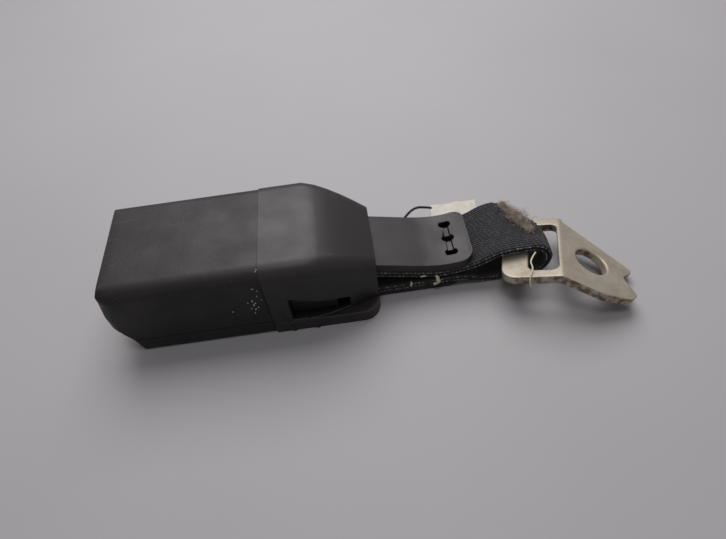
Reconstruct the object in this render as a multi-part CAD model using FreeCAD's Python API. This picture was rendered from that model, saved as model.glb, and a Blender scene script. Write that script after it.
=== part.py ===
import FreeCAD, Part

import math
import os

# Seat belt buckle on a short webbing loop with a bolted anchor plate.
# Millimetres. The buckle lies on its front face: +Z is up through the back cover,
# +X runs from the tongue mouth to the anchor plate, +Y is across the buckle.
# The origin is on the front face, under the point where the latch holds the tongue.

V = FreeCAD.Vector

# Housing
mouth_reach = 27.8
housing_length = 52.0
housing_width = 41.0
housing_height = 31.0
housing_wall = 2.2
edge_round = 5.0
plan_round = 6.0
parting_height = 6.0
parting_groove = 0.35
bulge_height = 15.2
brow_set_back = 2.6
bevel_height = 8.6
bevel_set_back = 5.5
lip_height = 6.8
lip_set_back = 5.0
foot_set_back = 6.7
inner_clearance = 0.3

# Ribs, posts and hooks inside the housing
lead_in_depth = 1.6
rib_thickness = 1.5
rib_from_mouth = 13.8
rib_from_seam = 6.2
rib_count = 3
rib_inner_y = 7.0
rib_outer_y = 13.0
post_length = 3.0
post_from_seam = 3.7
post_count = 3
spring_wall_thickness = 2.0
spring_wall_ahead = 3.0
hook_length = 5.0
hook_thickness = 1.2
hook_from_mouth = 15.8
hook_from_seam = 12.2
small_round = 0.5
foot_round = 1.0
overcut = 1.0

# Neck of the housing inside the boot
neck_length = 22.0
neck_step = 3.1
neck_base = 2.4
neck_top = 28.3
neck_wall = 1.7
neck_round = 3.0
neck_slope_run = 6.0
neck_slope_drop = 2.2

# Tongue slot
slot_width = 26.0
slot_base = 18.0
slot_height = 5.0

# Steel frame
frame_steel = 2.4
frame_side_gap = 0.2
frame_front = 20.0
frame_set_back = 8.2
frame_low = 6.5
frame_tab_width = 7.0
frame_tab_set_back = 0.6
cheek_front = 12.0
cheek_rear_top = 19.0
window_margin = 1.0
frame_corner = 3.0

# Latch and its pin
latch_width = 12.0
latch_steel = 2.4
latch_arm_base = 11.5
pivot_distance = 26.0
latch_pin_radius = 2.0
latch_boss_wall = 1.4
latch_tail = 7.0
latch_tip_height = 6.0
latch_tip_lead = 1.0
latch_swing = 16.0
pin_clearance = 0.05

# Lock bar
lock_bar_x = 12.0
lock_bar_z = 9.0
lock_bar_radius = 1.6
lock_clearance = 0.2

# Release button
button_side_gap = 0.5
button_base = 4.2
button_top = 14.6
button_travel = 6.0
button_recess = 1.0
button_depth = 6.0
button_margin = 0.4
button_wall = 1.5
button_hollow_depth = 3.0
button_arm_width = 3.0
button_arm_base = 7.0
button_arm_top = 10.4
button_contact_gap = 0.3

# Ejector
ejector_side_gap = 1.4
ejector_leg_width = 4.0
ejector_front = 6.0
ejector_bar_x = 8.0
ejector_bar_depth = 5.0
ejector_gap = 0.5

# Springs
wire_radius = 0.4
wire_sides = 6
turn_facets = 12
ejector_spring_radius = 1.9
button_spring_radius = 2.0
button_spring_offset = 5.5
latch_spring_radius = 1.5
latch_spring_offset = 4.0
spring_seat_gap = 0.15
ejector_spring_turns = 7
button_spring_turns = 6
latch_spring_turns = 4

# Guide under the tongue
guide_thickness = 2.0
guide_rear = 10.8
guide_wing_set_back = 5.0
guide_window_lead = 3.5

# Webbing, folded in half along its length
webbing_width = 23.5
webbing_thickness = 2.6
webbing_bar_radius = 3.0
webbing_bar_set_back = 5.7
webbing_bar_z = 12.0
webbing_gap = 0.2
webbing_side_room = 0.7
loop_beyond_flap = 19.1
loop_radius = 6.6
loop_low = 1.4
loop_far_edge = 1.6
loop_trim_set_back = 7.6
loop_trim_run = 9.5
loop_rise_run = 10.1
loop_rise = 0.6
low_run_clearance = 0.3
low_run_lift = 1.7
low_run_approach = 9.3

# Boot around the neck
boot_width = 42.0
boot_height = 31.3
boot_full_length = 14.8
boot_length = 36.1
boot_rear_width = 29.5
boot_rear_height = 20.5
boot_round = 5.5
boot_rear_round = 4.0
boot_ease = 1.35
boot_panels = 5
boot_gap = 0.2
boot_wall_depth = 3.6
boot_rib_width = 1.1
boot_rib_height = 9.5
boot_rib_lean = 3.6
boot_rib_proud = 0.4
boot_rib_from_seam = 2.2
boot_rib_pitch = 8.0
boot_lower_height = 5.0
boot_lower_round = 6.0
tunnel_rise = 2.0
tunnel_drop = 1.6
flap_width = 23.0
flap_thickness = 3.0
flap_reach = 33.2
flap_corner = 4.0
flap_root_run = 4.0
flap_root_height = 16.9
flap_shoulder_reach = 8.3
flap_shoulder_drop = 2.0
flap_dip_reach = 21.6
flap_dip_height = 12.4
flap_end_height = 14.3
lower_flap_thickness = 2.0
lower_flap_reach = 29.0
flap_slot_length = 4.1
flap_slot_width = 2.4
flap_slot_pitch = 6.5
flap_slot_from_end = 6.8
flap_slot_count = 3
flap_groove_depth = 0.6
flap_groove_width = 2.0
side_window_start = 6.6
side_window_length = 19.6
side_window_base = 6.0
side_window_tall = 17.4
side_window_short = 11.0
side_window_reach = 5.6

# Label tag in the webbing
label_length = 17.0
label_thickness = 0.5
label_overlap = 9.5
label_inner_y = 6.0
label_outer_y = 15.4

# Anchor plate in its own frame: x runs away from the buckle, the bend is at x = 0
plate_thickness = 3.0
plate_width = 32.6
plate_flat_length = 18.5
plate_bend_angle = 33.0
plate_corner = 5.0
plate_slot_length = 9.6
plate_slot_width = 25.4
plate_slot_from_bend = 0.5
plate_slot_round = 2.5
bolt_hole_radius = 5.75
bolt_hole_from_bend = 11.0
bolt_hole_offset = 1.5
bolt_hole_chamfer = 0.5
near_taper_start = 15.0
prong_shoulder_reach = 24.6
prong_shoulder_offset = 13.0
prong_reach = 27.0
prong_offset = 9.7
prong_round = 1.2
notch_reach = 22.6
notch_offset = 2.7
notch_round = 1.2
notch_mouth = 24.8
notch_mouth_offset = 0.2
lobe_reach = 27.4
lobe_offset = 2.9
lobe_round = 1.8
far_taper_offset = 15.4
corner_reach = 0.01
plate_bend_beyond_loop = 9.7
plate_bend_y = -11.3
plate_bend_z = 11.9
plate_yaw = -15.7
plate_pitch = 10.3
plate_roll = -12.5

# Derived places
mouth_x = -mouth_reach
seam_x = mouth_x + housing_length
neck_end = seam_x + neck_length
boot_end = seam_x + boot_length
flap_end = boot_end + flap_reach
neck_width = housing_width - 2 * neck_step
frame_width = neck_width - 2 * (neck_wall + frame_side_gap)
frame_rear = neck_end - frame_set_back
frame_top = slot_base + slot_height + frame_steel
channel_top = slot_base + slot_height
guide_top = slot_base - inner_clearance
cheek_inner = frame_width / 2 - frame_steel
button_width = 2 * (cheek_inner - button_side_gap)
ejector_width = 2 * (cheek_inner - ejector_side_gap)
pivot_z = latch_arm_base + latch_steel / 2
webbing_bar_x = neck_end - webbing_bar_set_back
loop_centre_x = flap_end + loop_beyond_flap
loop_centre_z = loop_low + loop_radius
label_start_x = flap_end - label_overlap
plate_bend_x = loop_centre_x + plate_bend_beyond_loop


def box(x0, x1, y0, y1, z0, z1):
    """Block between two corners."""
    return Part.makeBox(x1 - x0, y1 - y0, z1 - z0, V(x0, y0, z0))


def centred(x0, x1, width, z0, z1):
    """Block centred on the plane y = 0."""
    return box(x0, x1, -width / 2, width / 2, z0, z1)


def rod(x, z, radius, y0, y1):
    """Round bar along Y."""
    return Part.makeCylinder(radius, y1 - y0, V(x, y0, z), V(0, 1, 0))


def prism_y(points, width):
    """Side outline in x and z, drawn out across the width about y = 0."""
    corners = [V(x, -width / 2, z) for x, z in points]
    face = Part.Face(Part.makePolygon(corners + corners[:1]))
    return face.extrude(V(0, width, 0))


def mirrored(shape):
    """The same shape on the other side of the plane y = 0."""
    return shape.mirror(V(0, 0, 0), V(0, 1, 0))


def both_sides(shape):
    """A shape and its mirror image as one solid or group."""
    return shape.fuse(mirrored(shape))


def rounded_outline(a0, a1, b0, b1, radii, place):
    """Closed rectangle with a radius at each corner, mapped to space by place."""
    r = radii
    k = 1 - math.sqrt(0.5)
    spans = [
        ((a0 + r[0], b0), (a1 - r[1], b0), (a1 - k * r[1], b0 + k * r[1]), (a1, b0 + r[1])),
        ((a1, b0 + r[1]), (a1, b1 - r[2]), (a1 - k * r[2], b1 - k * r[2]), (a1 - r[2], b1)),
        ((a1 - r[2], b1), (a0 + r[3], b1), (a0 + k * r[3], b1 - k * r[3]), (a0, b1 - r[3])),
        ((a0, b1 - r[3]), (a0, b0 + r[0]), (a0 + k * r[0], b0 + k * r[0]), (a0 + r[0], b0)),
    ]
    edges = []
    for start, corner, middle, end in spans:
        edges.append(Part.LineSegment(place(*start), place(*corner)).toShape())
        edges.append(Part.Arc(place(*corner), place(*middle), place(*end)).toShape())
    return Part.Wire(edges)


def plan_block(x0, x1, width, z0, z1, radii):
    """Upright block with rounded corners in plan: front near, rear near, rear far, front far."""
    outline = rounded_outline(x0, x1, -width / 2, width / 2, radii, lambda a, b: V(a, b, z0))
    return Part.Face(outline).extrude(V(0, 0, z1 - z0))


def section(x, width, z0, z1, radius, foot):
    """Outline across the buckle at x, with rounded upper edges and smaller lower ones."""
    radii = (foot, foot, radius, radius)
    return rounded_outline(-width / 2, width / 2, z0, z1, radii, lambda a, b: V(x, a, b))


def section_block(x0, x1, width, z0, z1, radius, foot):
    """Section drawn out along X."""
    return Part.Face(section(x0, width, z0, z1, radius, foot)).extrude(V(x1 - x0, 0, 0))


def spaced(first, last, count):
    """Evenly spaced places from first to last."""
    return [first + (last - first) * i / (count - 1) for i in range(count)]


def coil(start, axis, length, radius, turns):
    """Wire wound from start along axis, in short straight runs so that it stays light."""
    steps = turns * turn_facets
    path = [
        V(
            radius * math.cos(2 * math.pi * i / turn_facets),
            radius * math.sin(2 * math.pi * i / turn_facets),
            length * i / steps,
        )
        for i in range(steps + 1)
    ]
    ahead = (path[1] - path[0]).normalize()
    out = ahead.cross(V(0, 0, 1)).normalize()
    up = ahead.cross(out)
    ring = []
    for i in range(wire_sides):
        angle = 2 * math.pi * i / wire_sides
        ring.append(path[0] + out * (wire_radius * math.cos(angle)) + up * (wire_radius * math.sin(angle)))
    profile = Part.Wire(Part.makePolygon(ring + ring[:1]))
    wound = Part.Wire(Part.makePolygon(path)).makePipeShell([profile], True, False, 1)
    wound.Placement = FreeCAD.Placement(start, FreeCAD.Rotation(V(0, 0, 1), axis))
    return wound


def mouth_side(inset):
    """Side outline of the housing with its bulging mouth, shrunk by inset."""
    front = mouth_x + inset
    rear = seam_x
    top = housing_height - inset
    brow = V(front + brow_set_back, 0, top)
    bulge = V(front, 0, bulge_height)
    middle = V(front + brow_set_back * 0.23, 0, (top + bulge_height) / 2)
    lower = [
        bulge,
        V(front + bevel_set_back, 0, bevel_height),
        V(front + lip_set_back, 0, lip_height),
        V(front + foot_set_back, 0, inset),
        V(rear, 0, inset),
        V(rear, 0, top),
        brow,
    ]
    edges = [Part.Arc(brow, middle, bulge).toShape()]
    edges += [Part.LineSegment(a, b).toShape() for a, b in zip(lower, lower[1:])]
    face = Part.Face(Part.Wire(edges))
    face.translate(V(0, -housing_width / 2, 0))
    return face.extrude(V(0, housing_width, 0))


def housing_block(inset):
    """Outer form of the exposed housing, shrunk by inset on every side but the seam."""
    width = housing_width - 2 * inset
    across = section_block(
        mouth_x, seam_x, width, inset, housing_height - inset, edge_round - inset, 1.0
    )
    soft = plan_round - inset
    plan = plan_block(mouth_x + inset, seam_x, width, 0, housing_height, (soft, 0.5, 0.5, soft))
    return mouth_side(inset).common(across).common(plan)


def neck_block(inset, rear):
    """Smaller rear form of the housing that the boot covers."""
    low = neck_base + inset
    high = neck_top - inset
    body = section_block(
        seam_x - housing_wall - inset,
        rear,
        neck_width - 2 * inset,
        low,
        high,
        neck_round - inset,
        0.5,
    )
    slope = prism_y(
        [
            (neck_end - neck_slope_run, high),
            (rear + 1, high - neck_slope_drop * (rear + 1 - neck_end + neck_slope_run) / neck_slope_run),
            (rear + 1, high + 1),
            (neck_end - neck_slope_run, high + 1),
        ],
        housing_width,
    )
    return body.cut(slope)


def casing():
    """Hollow housing and neck in one, before it is parted into two covers."""
    solid = housing_block(0).fuse(neck_block(0, neck_end))
    hollow = housing_block(housing_wall).common(
        centred(mouth_x, seam_x - housing_wall, housing_width, 0, housing_height)
    )
    hollow = hollow.fuse(neck_block(neck_wall, neck_end + 1))
    return solid.cut(hollow)


def back_cover():
    """Upper shell with the tongue slot, the button opening and the ribs that hold the frame."""
    shell = casing().common(
        centred(mouth_x, neck_end, housing_width, parting_height, housing_height)
    )
    slot = centred(mouth_x - 1, mouth_x + plan_round, slot_width, slot_base, channel_top)
    lead_in = prism_y(
        [
            (mouth_x - overcut, slot_base - lead_in_depth),
            (mouth_x + housing_wall / 2, slot_base),
            (mouth_x + housing_wall / 2, channel_top),
            (mouth_x - overcut, channel_top + lead_in_depth),
        ],
        slot_width,
    )
    opening = centred(
        mouth_x - 1,
        mouth_x + plan_round + bevel_set_back,
        button_width + 2 * button_margin,
        0,
        button_top + button_margin,
    )
    shell = shell.cut(slot).cut(lead_in).cut(opening)
    for rib_x in spaced(mouth_x + rib_from_mouth, seam_x - rib_from_seam, rib_count):
        rear = rib_x + rib_thickness
        rib = box(
            rib_x, rear, rib_inner_y, rib_outer_y, frame_top, housing_height - housing_wall / 2
        )
        side = box(
            rib_x, rear, frame_width / 2, housing_width / 2 - housing_wall / 2, slot_base, frame_top
        )
        shell = shell.fuse(both_sides(rib)).fuse(both_sides(side))
    groove = centred(
        mouth_x - 1, seam_x, housing_width + 2, parting_height, parting_height + parting_groove
    ).cut(housing_block(parting_groove))
    return shell.cut(groove).removeSplitter()


def front_cover():
    """Lower shell that carries the frame's cheeks, the springs' wall and the snap hooks."""
    shell = casing().common(centred(mouth_x, neck_end, housing_width, 0, parting_height))
    opening = centred(
        mouth_x - 1,
        mouth_x + foot_set_back + housing_wall + 1,
        button_width + 2 * button_margin,
        button_base - button_margin,
        parting_height,
    )
    shell = shell.cut(opening)
    first_post = frame_corner + housing_wall / 2 - cheek_front
    for post_x in spaced(first_post, seam_x - post_from_seam, post_count):
        post = box(
            post_x, post_x + post_length, cheek_inner, frame_width / 2, housing_wall / 2, frame_low
        )
        shell = shell.fuse(both_sides(post))
    wall_x = spring_wall_x()
    wall_half = button_spring_offset + button_spring_radius + small_round
    wall = centred(
        wall_x, wall_x + spring_wall_thickness, 2 * wall_half, housing_wall / 2,
        button_arm_top - button_margin,
    )
    shell = shell.fuse(wall)
    for hook_x in (mouth_x + hook_from_mouth, seam_x - hook_from_seam):
        hook_y = housing_width / 2 - housing_wall
        stem = box(
            hook_x, hook_x + hook_length, hook_y - hook_thickness, hook_y, housing_wall / 2,
            parting_height + hook_length,
        )
        shell = shell.fuse(both_sides(stem))
    return shell.removeSplitter()


def spring_wall_x():
    """Front face of the wall behind the button's springs."""
    rear = lock_bar_x - lock_bar_radius - button_contact_gap - spring_wall_ahead
    return rear - spring_wall_thickness


def button_front_x():
    """Rear face of the button's cap."""
    return mouth_x + bevel_set_back + button_recess + button_depth


def release_button():
    """Button cap in the mouth with two arms that reach back to the lock bar."""
    cap = centred(mouth_x, button_front_x(), button_width, button_base, button_top)
    cap = cap.common(housing_block(button_recess))
    hollow = centred(
        button_front_x() - button_hollow_depth, button_front_x(), button_width - 2 * button_wall,
        button_base + button_wall, button_top - button_wall,
    )
    cap = cap.cut(hollow)
    edge = button_width / 2
    arm = box(
        button_front_x() - button_hollow_depth,
        lock_bar_x - lock_bar_radius - button_contact_gap,
        edge - button_arm_width,
        edge,
        button_arm_base,
        button_arm_top,
    )
    return cap.fuse(both_sides(arm)).removeSplitter()


def buckle_frame():
    """Steel channel: a base with the latch window and two cheeks that carry the pins."""
    base = plan_block(
        -frame_front, frame_rear, frame_width, channel_top, frame_top,
        (frame_corner, 0.5, 0.5, frame_corner),
    )
    front, rear = raised_tip_reach()
    window = plan_block(
        front - window_margin, rear + window_margin, latch_width + 2 * window_margin,
        channel_top - 1, frame_top + 1, (1, 1, 1, 1),
    )
    cheek_rear = neck_end - inner_clearance
    corner = frame_corner
    side = [
        (-cheek_front, channel_top + frame_steel / 2),
        (-cheek_front, slot_base - corner),
        (-cheek_front + corner, frame_low),
        (cheek_rear - corner, frame_low),
        (cheek_rear, frame_low + corner),
        (cheek_rear, cheek_rear_top - corner),
        (cheek_rear - corner, cheek_rear_top),
        (frame_rear, channel_top + frame_steel / 2),
    ]
    cheek = prism_y(side, frame_steel)
    cheek.translate(V(0, cheek_inner + frame_steel / 2, 0))
    frame = base.cut(window).fuse(both_sides(cheek))
    tab_x = spring_tab_x()
    tab = centred(
        tab_x, tab_x + frame_steel, frame_tab_width, slot_base + ejector_gap, channel_top
    )
    frame = frame.fuse(tab)
    half = frame_width
    frame = frame.cut(rod(pivot_distance, pivot_z, latch_pin_radius, -half, half))
    frame = frame.cut(rod(webbing_bar_x, webbing_bar_z, webbing_bar_radius, -half, half))
    return frame.cut(lock_slot()).removeSplitter()


def lock_slot():
    """Slots in the cheeks along which the lock bar slides."""
    r = lock_bar_radius + lock_clearance
    ends = rod(lock_bar_x, lock_bar_z, r, -frame_width, frame_width)
    far_x = lock_bar_x + button_travel
    ends = ends.fuse(rod(far_x, lock_bar_z, r, -frame_width, frame_width))
    middle = centred(lock_bar_x, far_x, 2 * frame_width, lock_bar_z - r, lock_bar_z + r)
    return ends.fuse(middle)


def spring_tab_x():
    """Front face of the lanced tab behind the ejector's spring."""
    return frame_rear - frame_steel - frame_tab_set_back


def tip_corners():
    """Side outline of the latch's upturned tip with the latch at rest."""
    front = -latch_tip_lead
    rear = front + latch_steel
    top = latch_arm_base + latch_tip_height
    nose = latch_steel / 2
    return [
        (front, latch_arm_base), (rear, latch_arm_base), (rear, top), (front + nose / 2, top),
        (front, top - nose),
    ]


def raised_tip_reach():
    """Lowest and highest x of the tip's upper corners once the latch has swung up."""
    swing = math.radians(latch_swing)
    reach = []
    for x, z in tip_corners()[2:]:
        across = (x - pivot_distance) * math.cos(swing) + (z - pivot_z) * math.sin(swing)
        reach.append(pivot_distance + across)
    return min(reach), max(reach)


def latch():
    """Pawl: an arm with an upturned tip, a boss round its pin and a tail under the springs."""
    top = latch_arm_base + latch_steel
    arm = centred(
        -latch_tip_lead, pivot_distance + latch_tail, latch_width, latch_arm_base, top
    )
    tip = prism_y(tip_corners(), latch_width)
    half = latch_width / 2
    bore_radius = latch_pin_radius + pin_clearance
    boss = rod(pivot_distance, pivot_z, bore_radius + latch_boss_wall, -half, half)
    bore = rod(pivot_distance, pivot_z, bore_radius, -latch_width, latch_width)
    return arm.fuse(tip).fuse(boss).cut(bore).removeSplitter()


def cross_pin(x, z, radius):
    """Pin peened flush with the outer faces of both cheeks."""
    return rod(x, z, radius, -frame_width / 2, frame_width / 2)


def lock_bar():
    """Round bar in the cheeks' slots that holds the latch up."""
    reach = frame_width / 2 + 1.2
    return rod(lock_bar_x, lock_bar_z, lock_bar_radius, -reach, reach)


def ejector():
    """Fork that the tongue pushes back and that throws the tongue out."""
    low = slot_base + ejector_gap
    high = channel_top - ejector_gap
    half = ejector_width / 2
    bar = centred(
        ejector_bar_x, ejector_bar_x + ejector_bar_depth, ejector_width, low, high
    )
    leg = box(-ejector_front, ejector_bar_x, half - ejector_leg_width, half, low, high)
    return bar.fuse(both_sides(leg)).removeSplitter()


def tongue_guide():
    """Plate under the tongue's path, open where the latch's tip rises."""
    front = mouth_x + housing_wall + inner_clearance
    low = guide_top - guide_thickness
    plate = centred(front, guide_rear, 2 * cheek_inner, low, guide_top)
    window = centred(
        -latch_tip_lead - guide_window_lead, guide_rear + 1, latch_width + 2 * window_margin,
        low - 1, guide_top + 1,
    )
    wing = box(
        front + guide_wing_set_back, -cheek_front - inner_clearance, cheek_inner,
        housing_width / 2 - housing_wall, low, guide_top,
    )
    plate = plate.cut(window).fuse(both_sides(wing))
    return plate.removeSplitter()


def ejector_spring():
    """Coil between the ejector and the frame's tab."""
    start = ejector_bar_x + ejector_bar_depth + wire_radius + spring_seat_gap
    end = spring_tab_x() - wire_radius - spring_seat_gap
    z = slot_base + slot_height / 2
    return coil(
        V(start, 0, z), V(1, 0, 0), end - start, ejector_spring_radius - wire_radius,
        ejector_spring_turns,
    )


def button_spring(side):
    """Coil between the button's cap and the front cover's wall."""
    start = button_front_x() - button_hollow_depth + wire_radius + spring_seat_gap
    end = spring_wall_x() - wire_radius - spring_seat_gap
    z = (button_base + button_wall + button_arm_top) / 2
    return coil(
        V(start, side * button_spring_offset, z), V(1, 0, 0), end - start,
        button_spring_radius - wire_radius, button_spring_turns,
    )


def latch_spring(side):
    """Coil between the latch's tail and the frame's base."""
    start = latch_arm_base + latch_steel + wire_radius + spring_seat_gap
    end = channel_top - wire_radius - spring_seat_gap
    x = pivot_distance + latch_tail - latch_spring_radius - wire_radius / 2
    return coil(
        V(x, side * latch_spring_offset, start), V(0, 0, 1), end - start,
        latch_spring_radius - wire_radius, latch_spring_turns,
    )


def boot_section(share):
    """Outline of the boot across the buckle, at a share of the way down its taper."""
    eased = share ** boot_ease
    x = seam_x + boot_full_length + (boot_length - boot_full_length) * share
    width = boot_width + (boot_rear_width - boot_width) * eased
    height = boot_height + (boot_rear_height - boot_height) * eased
    radius = boot_round + (boot_rear_round - boot_round) * eased
    return section(x, width, 0, height, radius, foot_round)


def boot_outer():
    """Outer form of the boot, full at the seam and curving down to its rear end."""
    full_x = seam_x + boot_full_length
    front = section_block(seam_x, full_x, boot_width, 0, boot_height, boot_round, foot_round)
    stages = [boot_section(share) for share in spaced(0, 1, boot_panels + 1)]
    return front.fuse(Part.makeLoft(stages, True, True))


def boot_ribs():
    """Pairs of slanted ribs low on the boot's side walls, behind the seam."""
    inner = neck_width / 2 + boot_gap
    outer = boot_width / 2 + boot_rib_proud
    ribs = []
    for i in range(2):
        x = seam_x + boot_rib_from_seam + i * boot_rib_pitch
        rib = prism_y(
            [
                (x + boot_rib_lean, 0), (x + boot_rib_lean + boot_rib_width, 0),
                (x + boot_rib_width, boot_rib_height), (x, boot_rib_height),
            ],
            outer - inner,
        )
        rib.translate(V(0, (outer + inner) / 2, 0))
        ribs.append(both_sides(rib))
    return ribs[0].fuse(ribs[1:])


def boot_hollow():
    """Room in the boot for the neck and, behind it, for the webbing."""
    room = neck_block(-boot_gap, neck_end + boot_gap)
    room = room.common(centred(seam_x, boot_end, boot_width, 0, boot_height))
    passage = webbing_width + 2 * (webbing_gap + webbing_side_room - boot_gap)
    low = lower_flap_thickness
    tunnel = prism_y(
        [
            (neck_end - overcut, low + tunnel_drop),
            (boot_end + overcut, low),
            (boot_end + overcut, flap_root_height - flap_thickness),
            (neck_end - overcut, flap_root_height + tunnel_rise),
        ],
        passage,
    )
    return room.fuse(tunnel)


def flap_heights():
    """Places along the flap and the height of its upper face at each."""
    return [
        (boot_end, flap_root_height),
        (boot_end + flap_shoulder_reach, flap_root_height - flap_shoulder_drop),
        (boot_end + flap_dip_reach, flap_dip_height),
        (flap_end, flap_end_height),
    ]


def flap_curve(drop):
    """Side curve of the flap over the webbing, lowered by drop."""
    root = (boot_end - flap_root_run, flap_root_height + overcut)
    points = [V(x, 0, z - drop) for x, z in [root] + flap_heights()]
    curve = Part.BSplineCurve()
    curve.interpolate(points)
    return curve.toShape()


def flap_layer(thickness):
    """The flap's upper layer of a thickness, over its whole width."""
    top = flap_curve(0)
    low = flap_curve(thickness)
    ends = [
        Part.LineSegment(low.Vertexes[i].Point, top.Vertexes[i].Point).toShape() for i in (0, 1)
    ]
    side = Part.Face(Part.Wire(Part.__sortEdges__([top, low] + ends)))
    side.translate(V(0, -flap_width / 2, 0))
    return side.extrude(V(0, flap_width, 0))


def flap():
    """Tongue of the boot on the webbing, with a chain of slots joined by shallow grooves."""
    plan = plan_block(
        boot_end - flap_root_run - overcut, flap_end, flap_width, 0, boot_height,
        (small_round, flap_corner, flap_corner, small_round),
    )
    body = flap_layer(flap_thickness).common(plan)
    slot_x = flap_end - flap_slot_from_end
    reach = flap_slot_pitch * (flap_slot_count - 1) / 2
    end = flap_slot_width * 0.49
    for y in spaced(-reach, reach, flap_slot_count):
        slot = plan_block(
            slot_x - flap_slot_length / 2, slot_x + flap_slot_length / 2, flap_slot_width,
            0, boot_height, (end,) * 4,
        )
        slot.translate(V(0, y, 0))
        body = body.cut(slot)
    groove = centred(
        slot_x - flap_groove_width / 2, slot_x + flap_groove_width / 2, 2 * reach, 0, boot_height
    )
    return body.cut(flap_layer(flap_groove_depth).common(groove))


def boot_window():
    """Opening in the boot's side wall."""
    x0 = seam_x + side_window_start
    x1 = x0 + side_window_length
    window = prism_y(
        [
            (x0, side_window_base),
            (x1, side_window_base),
            (x1, side_window_short),
            (x0, side_window_tall),
        ],
        boot_width / 2,
    )
    window.translate(V(0, boot_width * 3 / 4 - boot_wall_depth - side_window_reach, 0))
    return both_sides(window)


def boot_upper():
    """Sleeve over the neck with the side windows, the ribs and the flap."""
    wide = boot_width + 2 * boot_rib_proud
    above = centred(seam_x, flap_end, wide, boot_lower_height, boot_height)
    body = boot_outer().fuse(boot_ribs()).common(above).cut(boot_hollow()).cut(boot_window())
    return body.fuse(flap()).cut(boot_hollow().common(above)).removeSplitter()


def boot_lower():
    """Tray under the neck with its wider rim, its ribs and the flap below the webbing."""
    soft = boot_lower_round
    tray = plan_block(
        seam_x, boot_end, boot_width, 0, boot_lower_height, (small_round, soft, soft, small_round)
    )
    wide = boot_width + 2 * boot_rib_proud
    below = centred(seam_x, boot_end, wide, 0, boot_lower_height)
    tray = tray.fuse(boot_ribs().common(below)).cut(boot_hollow())
    corner = flap_corner
    tongue = plan_block(
        boot_end - soft, boot_end + lower_flap_reach, flap_width, 0, lower_flap_thickness,
        (small_round, corner, corner, small_round),
    )
    return tray.fuse(tongue).removeSplitter()


def strap_edges(offset):
    """Closed side curve of the webbing at offset from its centre line, positive outwards."""
    bar_r = webbing_bar_radius + webbing_gap + webbing_thickness / 2 + offset
    end_r = loop_radius + offset
    under_flap = flap_thickness + webbing_gap + webbing_thickness / 2 - offset
    top = [V(webbing_bar_x, 0, webbing_bar_z + bar_r)]
    top += [V(x, 0, z - under_flap) for x, z in flap_heights()]
    top += [
        V(loop_centre_x - loop_rise_run, 0, loop_centre_z + end_r - loop_rise),
        V(loop_centre_x, 0, loop_centre_z + end_r),
    ]
    tray_end = boot_end + lower_flap_reach
    on_tray = lower_flap_thickness + webbing_gap + webbing_thickness / 2 - offset
    on_tray += low_run_clearance
    on_table = loop_centre_z - end_r
    low = [
        V(loop_centre_x, 0, on_table),
        V(loop_centre_x - low_run_approach, 0, on_table + low_run_clearance / 2),
        V((loop_centre_x - low_run_approach + tray_end) / 2, 0, on_table + low_run_clearance),
        V(tray_end, 0, on_tray + webbing_gap),
        V((tray_end + boot_end) / 2, 0, on_tray),
        V(boot_end, 0, on_tray),
        V((boot_end + webbing_bar_x) / 2, 0, on_tray + low_run_lift),
        V(webbing_bar_x, 0, webbing_bar_z - bar_r),
    ]
    along = V(1, 0, 0)
    upper = Part.BSplineCurve()
    upper.interpolate(Points=top, InitialTangent=along, FinalTangent=along)
    lower = Part.BSplineCurve()
    lower.interpolate(Points=low, InitialTangent=-along, FinalTangent=-along)
    end = Part.Arc(top[-1], V(loop_centre_x + end_r, 0, loop_centre_z), low[0])
    start = Part.Arc(low[-1], V(webbing_bar_x - bar_r, 0, webbing_bar_z), top[0])
    curves = [upper, end, lower, start]
    return Part.Wire([c.toShape() for c in curves])


def webbing_strap():
    """Folded webbing in one closed loop round the bar in the frame and the anchor plate."""
    outer = strap_edges(webbing_thickness / 2)
    inner = strap_edges(-webbing_thickness / 2)
    face = Part.Face(outer).cut(Part.Face(inner))
    face.translate(V(0, -webbing_width / 2, 0))
    strap = face.extrude(V(0, webbing_width, 0))
    half = webbing_width / 2
    start = loop_centre_x - loop_trim_set_back
    end = loop_centre_x + 2 * loop_radius
    corners = [
        V(start, half + overcut, -overcut),
        V(start, half, -overcut),
        V(start + loop_trim_run, loop_far_edge, -overcut),
        V(end, loop_far_edge, -overcut),
        V(end, half + overcut, -overcut),
    ]
    trim = Part.Face(Part.makePolygon(corners + corners[:1]))
    return strap.cut(trim.extrude(V(0, 0, housing_height))).removeSplitter()


def webbing_label():
    """Blank folded tag held between the webbing's two runs."""
    middle = label_start_x + label_length / 2
    z = flap_dip_height - flap_thickness - webbing_thickness - 2 * webbing_gap
    return box(
        middle - label_length / 2, middle + label_length / 2, label_inner_y, label_outer_y,
        z - label_thickness, z,
    )


def plate_place():
    """Where the anchor plate's own frame stands."""
    turn = FreeCAD.Rotation(V(0, 0, 1), plate_yaw)
    turn = turn.multiply(FreeCAD.Rotation(V(0, 1, 0), -plate_pitch))
    turn = turn.multiply(FreeCAD.Rotation(V(1, 0, 0), plate_roll))
    return FreeCAD.Placement(V(plate_bend_x, plate_bend_y, plate_bend_z), turn)


def plate_outline_flat():
    """Flat part with its webbing slot, up to the bend."""
    half = plate_thickness / 2
    flat = plan_block(
        -plate_flat_length, 0, plate_width, -half, half, (plate_corner, 0.2, 0.2, plate_corner)
    )
    slot_end = -plate_slot_from_bend
    slot = plan_block(
        slot_end - plate_slot_length, slot_end, plate_slot_width, -plate_thickness,
        plate_thickness, (plate_slot_round,) * 4,
    )
    return flat, slot


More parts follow.
